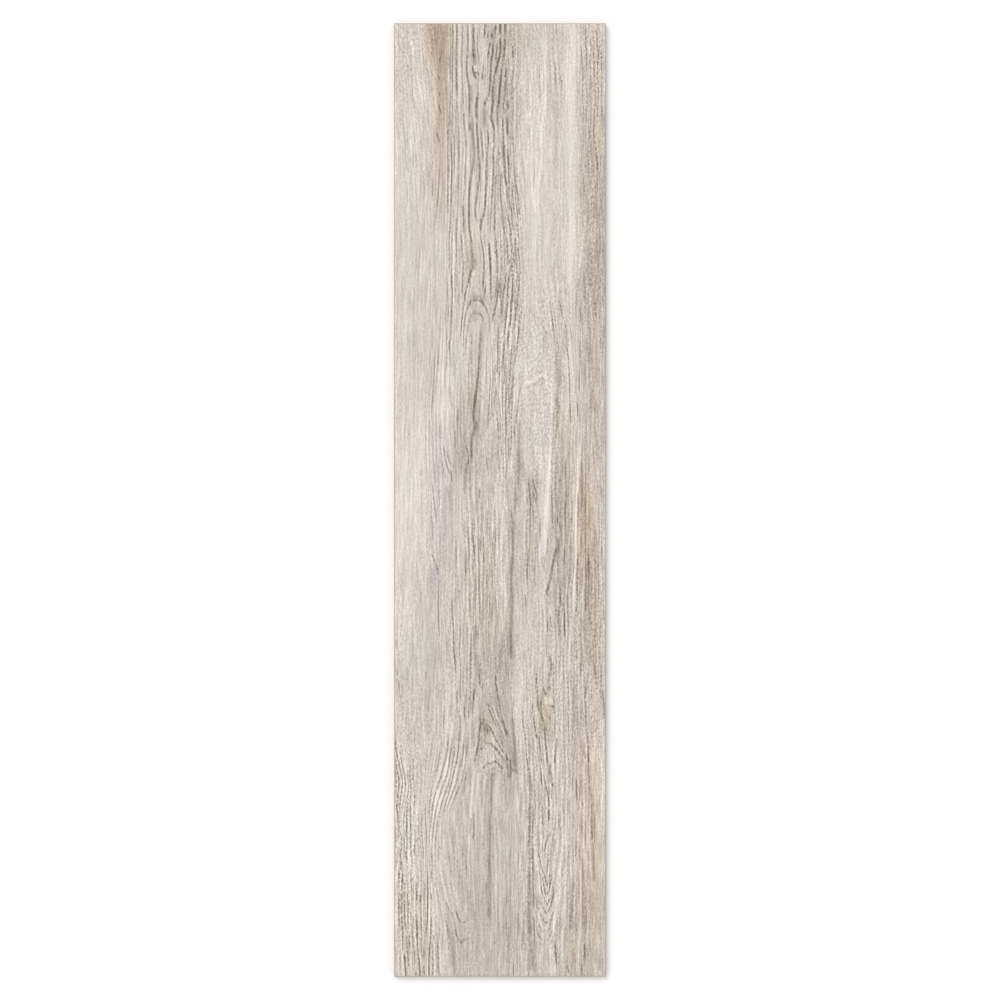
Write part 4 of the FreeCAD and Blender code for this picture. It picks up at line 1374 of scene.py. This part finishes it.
@dataclass(frozen=True)
class GroundPorcelain:
    """The tile's own porcelain body where diamond wheels have squared its sides and broken its arrises.

    It gives the eye a plain stone grey with fine dark and light grains, and faint wheel lines along each
    side. The grains are real at 0.3 to 0.8 mm, and the wheel lines are drawn 0.5 mm apart so that they show.
    """

    name: str = "ground_porcelain"
    grain: float = 0.7
    grain_detail: float = 2.0
    wheel_pitch: float = 0.5
    wheel_length: float = 125.0
    contrast: Range = (0.7, 1.3)
    roughness: float = 0.72
    ior: float = 1.5
    bump: float = 0.4
    depth: float = 0.03
    body: str = "#B9B0A5"
    grey: str = "#A39A8F"

    def make(self) -> bpy.types.Material:
        """Builds the material.

        Returns:
            The material.
        """
        material = empty_material(self.name)
        tree = material.node_tree
        place = add(tree, "TexCoord", {}).outputs["Object"]
        grains = add(tree, "TexNoise", {"Vector": place, "Scale": 1 / (self.grain * MM),
                                        "Detail": self.grain_detail}).outputs[0]
        # Wheel lines run level: they change quickly with height and slowly along the sides
        slow = 1 / (self.wheel_length * MM)
        level = (slow, slow, 1 / (self.wheel_pitch * MM))
        flat = add(tree, "Mapping", {"Vector": place, "Scale": level}).outputs[0]
        wheel = add(tree, "TexNoise", {"Vector": flat, "Scale": 1.0, "Detail": 1.0}).outputs[0]
        both = add(tree, "Math", {0: grains, 1: wheel}, operation="ADD").outputs[0]
        share = add(tree, "MapRange", {"Value": both, **between(self.contrast)}).outputs[0]
        colour = add(tree, "Mix", {0: share, 6: linear(self.grey), 7: linear(self.body)},
                     data_type="RGBA").outputs[2]
        rough = add(tree, "Bump", {"Strength": self.bump, "Distance": self.depth * MM,
                                   "Height": both}).outputs[0]
        body = add(tree, "BsdfPrincipled", {"Base Color": colour, "Roughness": self.roughness,
                                            "IOR": self.ior, "Normal": rough})
        add(tree, "OutputMaterial", {"Surface": body.outputs[0]})
        return material


@dataclass(frozen=True)
class WashedBack:
    """The unglazed back of the body, with white kiln wash in clouds and specks.

    It gives the eye a chalky, uneven white on the rib tops and the land, giving way to the bare greige
    body in the cells, so the back is darker down in its recesses.
    """

    name: str = "kiln_washed_porcelain_back"
    cloud: float = 22.0
    cloud_detail: float = 4.0
    grain: float = 0.9
    grain_detail: float = 2.0
    cell_depth: float = 0.8
    cover: Range = (0.75, 0.15)
    cloud_levels: Range = (0.35, 0.65)
    clouding: Range = (-0.35, 0.35)
    speckle: float = 0.6
    contrast: Range = (0.3, 1.1)
    roughness: float = 0.85
    ior: float = 1.5
    bump: float = 0.6
    depth: float = 0.08
    body: str = "#A89D90"
    wash: str = "#DAD5CC"

    def make(self) -> bpy.types.Material:
        """Builds the material.

        Returns:
            The material.
        """
        material = empty_material(self.name)
        tree = material.node_tree
        place = add(tree, "TexCoord", {}).outputs["Object"]
        height = add(tree, "SeparateXYZ", {0: place}).outputs[2]
        sizes = ((self.cloud, self.cloud_detail), (self.grain, self.grain_detail))
        clouds, grains = (add(tree, "TexNoise", {"Vector": place, "Scale": 1 / (size * MM),
                                                 "Detail": detail}).outputs[0] for size, detail in sizes)
        # The white share falls with height from the rib tops at 0 to the cell floors, so the cells are darker
        heights = between((0.0, self.cell_depth * MM), self.cover)
        height_share = add(tree, "MapRange", {"Value": height, **heights}).outputs[0]
        clouding = between(self.cloud_levels, self.clouding)
        patchy = add(tree, "MapRange", {"Value": clouds, **clouding}).outputs[0]
        worn = add(tree, "Math", {0: height_share, 1: patchy}, operation="ADD").outputs[0]
        speckled = add(tree, "Math", {0: grains, 1: self.speckle, 2: worn},
                       operation="MULTIPLY_ADD").outputs[0]
        share = add(tree, "MapRange", {"Value": speckled, **between(self.contrast)}).outputs[0]
        colour = add(tree, "Mix", {0: share, 6: linear(self.body), 7: linear(self.wash)},
                     data_type="RGBA").outputs[2]
        rough = add(tree, "Bump", {"Strength": self.bump, "Distance": self.depth * MM,
                                   "Height": speckled}).outputs[0]
        back = add(tree, "BsdfPrincipled", {"Base Color": colour, "Roughness": self.roughness,
                                            "IOR": self.ior, "Normal": rough})
        add(tree, "OutputMaterial", {"Surface": back.outputs[0]})
        return material


class Surface(Enum):
    """The tile's surfaces, each with the number of its material."""

    FACE = 0
    GROUND = 1
    BACK = 2


@dataclass
class MeshParts:
    """Points and faces as they are gathered, with each face's surface.

    Attributes:
        points: blocks of points, one row each.
        faces: the corner numbers of each face.
        surfaces: the surface of each face.
        count: how many points there are so far.
    """

    points: list[np.ndarray] = field(default_factory=list)
    faces: list[tuple[int, ...]] = field(default_factory=list)
    surfaces: list[int] = field(default_factory=list)
    count: int = 0

    def add_points(self, points: np.ndarray) -> np.ndarray:
        """Adds points.

        Args:
            points: one row each.

        Returns:
            Their numbers.
        """
        numbers = np.arange(self.count, self.count + len(points))
        self.points.append(points)
        self.count += len(points)
        return numbers

    def add_faces(self, corners: np.ndarray, surface: Surface) -> None:
        """Adds faces that all have as many corners.

        Args:
            corners: the corner numbers, one row for each face.
            surface: the surface that they belong to.
        """
        self.faces.extend(map(tuple, corners.tolist()))
        self.surfaces.extend([surface.value] * len(corners))


@dataclass
class PlankTile:
    """The fired tile: printed face, ground sides, arrises and ribbed back, as one closed mesh.

    Attributes:
        width: across, from the frame.
        length: along the grain, from the frame.
        thickness: back to face, from the frame.
        face_arris: the bevel round the face.
        back_arris: the bevel round the back.
        rib_width: the ribs between the cells, at their tops.
        rib_height: how deep the cells are.
        cell_pitch: from cell to cell.
        cell_corner: what is clipped off a cell's corners.
        cell_draft: the slope of a cell's walls from straight up, in degrees.
        least_land: the least plain strip round the cells.
        wood: the print.
    """

    width: float
    length: float
    thickness: float
    face_arris: float = 0.8
    back_arris: float = 0.4
    rib_width: float = 3.0
    rib_height: float = 0.8
    cell_pitch: float = 25.0
    cell_corner: float = 2.5
    cell_draft: float = 35.0
    least_land: float = 10.0
    wood: WoodPrint = field(default_factory=WoodPrint)

    def outline(self, border: np.ndarray, inset: float, height: float) -> np.ndarray:
        """The loop of points round the tile at an inset and a height.

        The face's border is stretched sideways and lengthways until it lies at the inset.

        Args:
            border: the border of the face, one row for each point.
            inset: how far inside the tile's sides the loop lies.
            height: its height above the back.

        Returns:
            The loop, with as many points as the border.
        """
        half = np.array([self.width, self.length]) / 2
        loop = border.copy()
        loop[:, :2] *= (half - inset) / (half - self.face_arris)
        loop[:, 2] = height
        return loop

    def add_face(self, parts: MeshParts, grid: FaceGrid) -> tuple[np.ndarray, dict[str, np.ndarray]]:
        """Adds the printed face: a grid whose height is the thickness less the relief.

        Args:
            parts: where the points and faces go.
            grid: the places of the grid's lines.

        Returns:
            The numbers of the border's points, down the left side first, and the values that the glaze reads.
        """
        across = grid.across()
        down = grid.down()
        x, values, depth = self.wood.values(across, down)
        y = np.repeat(down[:, None], len(across), 1)
        points = np.stack([x - self.width / 2, self.length / 2 - y, self.thickness - depth], -1)
        numbers = parts.add_points(points.reshape(-1, 3)).reshape(x.shape)
        corners = (numbers[:-1, :-1], numbers[1:, :-1], numbers[1:, 1:], numbers[:-1, 1:])
        parts.add_faces(np.stack(corners, -1).reshape(-1, 4), Surface.FACE)
        border = np.concatenate([numbers[:-1, 0], numbers[-1, :-1], numbers[:0:-1, -1], numbers[0, :0:-1]])
        return border, values

    def add_sides(self, parts: MeshParts, border: np.ndarray) -> np.ndarray:
        """Adds the arrises and the sides as strips from the face's border down to the back.

        Args:
            parts: where the points and faces go.
            border: the numbers of the border's points.

        Returns:
            The numbers of the loop round the back.
        """
        edge = np.concatenate(parts.points)[border]
        upper = border
        profile = (
            (0.0, self.thickness - self.face_arris),
            (0.0, self.back_arris),
            (self.back_arris, 0.0),
        )
        for inset, height in profile:
            lower = parts.add_points(self.outline(edge, inset, height))
            strip = np.stack([upper, lower, np.roll(lower, -1), np.roll(upper, -1)], -1)
            parts.add_faces(strip, Surface.GROUND)
            upper = lower
        return upper

    def cell_counts(self) -> tuple[int, int]:
        """How many cells fit across and along, as whole pitches between the least lands."""
        room = [size - 2 * self.least_land + self.rib_width for size in (self.width, self.length)]
        return int(room[0] // self.cell_pitch), int(room[1] // self.cell_pitch)

    def octagon(self, half: float, height: float) -> np.ndarray:
        """A square with clipped corners round Z, at a height, anticlockwise from its right side."""
        short = half - self.cell_corner
        x = [half, short, -short, -half, -half, -short, short, half]
        y = [short, half, half, short, -short, -half, -half, -short]
        return np.array([x, y, [height] * 8]).T

    def add_cells(self, parts: MeshParts) -> np.ndarray:
        """Adds the pressed cells in rows, with the rib tops between them.

        Each cell is a clipped square recess with sloped walls in the middle of a pitch square. The corners of
        the pitch squares are shared between neighbours.

        Args:
            parts: where the points and faces go.

        Returns:
            The numbers of the pitch squares' corners, by column and row.
        """
        across, along = self.cell_counts()
        i, j = (a.ravel() for a in np.meshgrid(np.arange(across), np.arange(along), indexing="ij"))
        lines_x = (np.arange(across + 1) - across / 2) * self.cell_pitch
        lines_y = (np.arange(along + 1) - along / 2) * self.cell_pitch
        grid_x, grid_y = np.meshgrid(lines_x, lines_y, indexing="ij")
        flat = np.stack([grid_x, grid_y, np.zeros_like(grid_x)], -1).reshape(-1, 3)
        knots = parts.add_points(flat).reshape(across + 1, along + 1)
        middle_x = lines_x[i] + self.cell_pitch / 2
        middle_y = lines_y[j] + self.cell_pitch / 2
        middles = np.stack([middle_x, middle_y, np.zeros(len(i))], -1)
        half = (self.cell_pitch - self.rib_width) / 2
        floor_half = half - self.rib_height * math.tan(math.radians(self.cell_draft))
        mouth_points = middles[:, None] + self.octagon(half, 0.0)
        floor_points = middles[:, None] + self.octagon(floor_half, self.rib_height)
        mouths = parts.add_points(mouth_points.reshape(-1, 3)).reshape(-1, 8)
        floors = parts.add_points(floor_points.reshape(-1, 3)).reshape(-1, 8)
        square = np.stack([knots[i + 1, j + 1], knots[i, j + 1], knots[i, j], knots[i + 1, j]], -1)
        for k in range(4):
            nip = [square[:, k], mouths[:, 2 * k], mouths[:, 2 * k + 1]]
            side = [square[:, k], mouths[:, 2 * k + 1], mouths[:, (2 * k + 2) % 8], square[:, (k + 1) % 4]]
            parts.add_faces(np.stack(nip, -1), Surface.BACK)
            parts.add_faces(np.stack(side, -1), Surface.BACK)
        walls = np.stack([mouths, floors, np.roll(floors, -1, 1), np.roll(mouths, -1, 1)], -1)
        parts.add_faces(walls.reshape(-1, 4), Surface.BACK)
        parts.add_faces(floors[:, ::-1], Surface.BACK)
        return knots

    def add_land(self, parts: MeshParts, rim: np.ndarray, knots: np.ndarray) -> None:
        """Adds the plain land between the rim of the back and the block of cells.

        It joins the many points of the rim to the few corners round the block: each rim edge makes a triangle
        with the nearest corner, and each step from one corner to the next closes with one more.

        Args:
            parts: where the points and faces go.
            rim: the numbers of the loop round the back, down the left side first.
            knots: the numbers of the pitch squares' corners.
        """
        block = np.concatenate([knots[0, :0:-1], knots[:-1, 0], knots[-1, :-1], knots[:0:-1, -1]])
        across, along = self.cell_counts()
        counts = (along, across, along, across)
        stations = np.concatenate([k + np.arange(n) / n for k, n in enumerate(counts)])
        rim_stations = self.stations(np.concatenate(parts.points)[rim])
        turns, middles = ((own + np.append(own[1:], len(counts))) / 2 for own in (stations, rim_stations))
        nearest = np.searchsorted(turns, middles) % len(block)
        parts.add_faces(np.stack([rim, block[nearest], np.roll(rim, -1)], -1), Surface.BACK)
        before = np.roll(nearest, 1)
        steps = before != nearest
        parts.add_faces(np.stack([rim, block[before], block[nearest]], -1)[steps], Surface.BACK)

    def stations(self, places: np.ndarray) -> np.ndarray:
        """How far round a rectangular loop each point is, one unit a side, down the left side first.

        Args:
            places: the loop's points, one row each.

        Returns:
            The stations, from 0 to 4.
        """
        x, y = places[:, 0], places[:, 1]
        u = (x - x.min()) / (x.max() - x.min())
        v = (y.max() - y) / (y.max() - y.min())
        number = np.arange(len(places))
        corner = [np.flatnonzero((u == a) & (v == b))[0] for a, b in ((0, 1), (1, 1), (1, 0))]
        side = (number >= corner[0]).astype(int) + (number >= corner[1]) + (number >= corner[2])
        return side + np.choose(side, [v, u, 1 - v, 1 - u])

    def build(self) -> bpy.types.Object:
        """Builds the tile's mesh, with the values that the glaze reads at its points.

        Returns:
            The tile's object.
        """
        parts = MeshParts()
        border, values = self.add_face(parts, FaceGrid(self.width, self.length, self.face_arris))
        rim = self.add_sides(parts, border)
        knots = self.add_cells(parts)
        self.add_land(parts, rim, knots)
        points = np.concatenate(parts.points) * MM
        mesh = bpy.data.meshes.new("fired_plank")
        mesh.from_pydata(points.tolist(), [], parts.faces)
        surfaces = np.array(parts.surfaces, np.int32)
        mesh.polygons.foreach_set("material_index", surfaces)
        mesh.polygons.foreach_set("use_smooth", surfaces == Surface.FACE.value)
        for name, value in values.items():
            full = np.zeros((len(points), 3), np.float32)
            full[:len(value)] = value
            mesh.attributes.new(name, "FLOAT_VECTOR", "POINT").data.foreach_set("vector", full.ravel())
        mesh.update()
        tile = bpy.data.objects.new("fired_plank", mesh)
        bpy.context.collection.objects.link(tile)
        return tile

    def dress(self, tile: bpy.types.Object) -> None:
        """Gives the tile's surfaces their materials and puts it in the frame, in place of its node.

        Args:
            tile: the tile's object.
        """
        for finish in (PrintedGlaze(), GroundPorcelain(), WashedBack()):
            tile.data.materials.append(finish.make())
        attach(tile, BODY)
        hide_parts(NODE)


@dataclass(frozen=True)
class PaleFloor:
    """A seamless paper sweep, rolled flat: matt and nearly white, with a trace of tooth.

    It gives the eye an even ground that takes a soft shadow and nothing else.
    """

    name: str = "paper_sweep"
    tooth: float = 1.2
    roughness: float = 0.9
    specular: float = 0.2
    bump: float = 0.1
    depth: float = 0.02
    colour: str = "#FBFAF9"

    def make(self) -> bpy.types.Material:
        """Builds the material.

        Returns:
            The material.
        """
        material = empty_material(self.name)
        tree = material.node_tree
        place = add(tree, "TexCoord", {}).outputs["Object"]
        tooth = add(tree, "TexNoise", {"Vector": place, "Scale": 1 / (self.tooth * MM)}).outputs[0]
        rough = add(tree, "Bump", {"Strength": self.bump, "Distance": self.depth * MM,
                                   "Height": tooth}).outputs[0]
        paper = add(tree, "BsdfPrincipled", {"Base Color": linear(self.colour), "Roughness": self.roughness,
                                             "Specular IOR Level": self.specular, "Normal": rough})
        add(tree, "OutputMaterial", {"Surface": paper.outputs[0]})
        return material


@dataclass(frozen=True)
class Studio:
    """The floor, the light and the camera.

    Attributes:
        floor_half: half the floor's side, in metres.
        floor_gap: how far below the tile's back it lies, so that they don't touch.
        sky: the colour of the even light from all round.
        sky_level: its brightness.
        key_power: the power of the soft key light, a wide disc far off.
        key_spread: how wide the key light looks, in degrees.
        key_tilt: how far the key light leans from straight above, towards the top end and then the left side.
        lens: the camera's focal length, in millimetres.
        picture: the picture's side in its own pixels.
        face_pixels: how many of those the tile's length covers.
    """

    floor_half: float = 20.0
    floor_gap: float = 0.1
    sky: str = "#FFFFFF"
    sky_level: float = 0.80
    key_power: float = 1.10
    key_spread: float = 30.0
    key_tilt: tuple[float, float] = (24.0, -18.0)
    lens: float = 100.0
    picture: float = 1000.0
    face_pixels: float = 953.9

    def add_floor(self) -> None:
        """Adds the floor, level with the back of the tile, just clear of it."""
        h = self.floor_half
        mesh = bpy.data.meshes.new("studio_floor")
        z = -self.floor_gap * MM
        mesh.from_pydata([(-h, -h, z), (h, -h, z), (h, h, z), (-h, h, z)], [], [(0, 1, 2, 3)])
        mesh.materials.append(PaleFloor().make())
        floor = bpy.data.objects.new("studio_floor", mesh)
        bpy.context.collection.objects.link(floor)

    def add_light(self) -> None:
        """Adds an even sky and one wide, soft key light."""
        world = bpy.data.worlds.new("studio_sky")
        world.use_nodes = True
        sky = world.node_tree.nodes["Background"]
        sky.inputs["Color"].default_value = linear(self.sky)
        sky.inputs["Strength"].default_value = self.sky_level
        bpy.context.scene.world = world
        key = bpy.data.lights.new("key_light", "SUN")
        key.energy = self.key_power
        key.angle = math.radians(self.key_spread)
        lamp = bpy.data.objects.new("key_light", key)
        lamp.rotation_euler = [math.radians(a) for a in (-self.key_tilt[0], self.key_tilt[1], 0)]
        bpy.context.collection.objects.link(lamp)

    def add_camera(self, low: Vector, high: Vector) -> None:
        """Adds the camera straight above the tile, its top end up, far enough for the photograph's margins.

        Args:
            low: the lowest corner of the tile's box.
            high: its highest corner.
        """
        camera = bpy.data.cameras.new("camera")
        camera.lens = self.lens
        view_length = (high.y - low.y) * self.picture / self.face_pixels
        distance = view_length * camera.lens / camera.sensor_width
        middle = (low + high) / 2
        stand = bpy.data.objects.new("camera", camera)
        stand.location = (middle.x, middle.y, high.z + distance)
        bpy.context.collection.objects.link(stand)
        bpy.context.scene.camera = stand

    def build(self, low: Vector, high: Vector) -> None:
        """Sets up the whole studio round a box.

        Args:
            low: the lowest corner of the tile's box.
            high: its highest corner.
        """
        self.add_floor()
        self.add_light()
        self.add_camera(low, high)
        bpy.context.scene.view_settings.view_transform = "Standard"


def main() -> None:
    """Builds the tile and the studio."""
    logging.basicConfig(level=logging.INFO, format="%(name)s: %(message)s")
    low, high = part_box(NODE)
    size = (high - low) / MM
    plank = PlankTile(width=size.x, length=size.y, thickness=size.z)
    tile = plank.build()
    plank.dress(tile)
    triangles = sum(len(face.vertices) - 2 for face in tile.data.polygons)
    points, faces = len(tile.data.vertices), len(tile.data.polygons)
    log.info("%s: %d points, %d faces, %d triangles", tile.name, points, faces, triangles)
    Studio().build(low, high)
    log.info("studio: floor, sky, key light and camera")


if __name__ == "__main__":
    main()
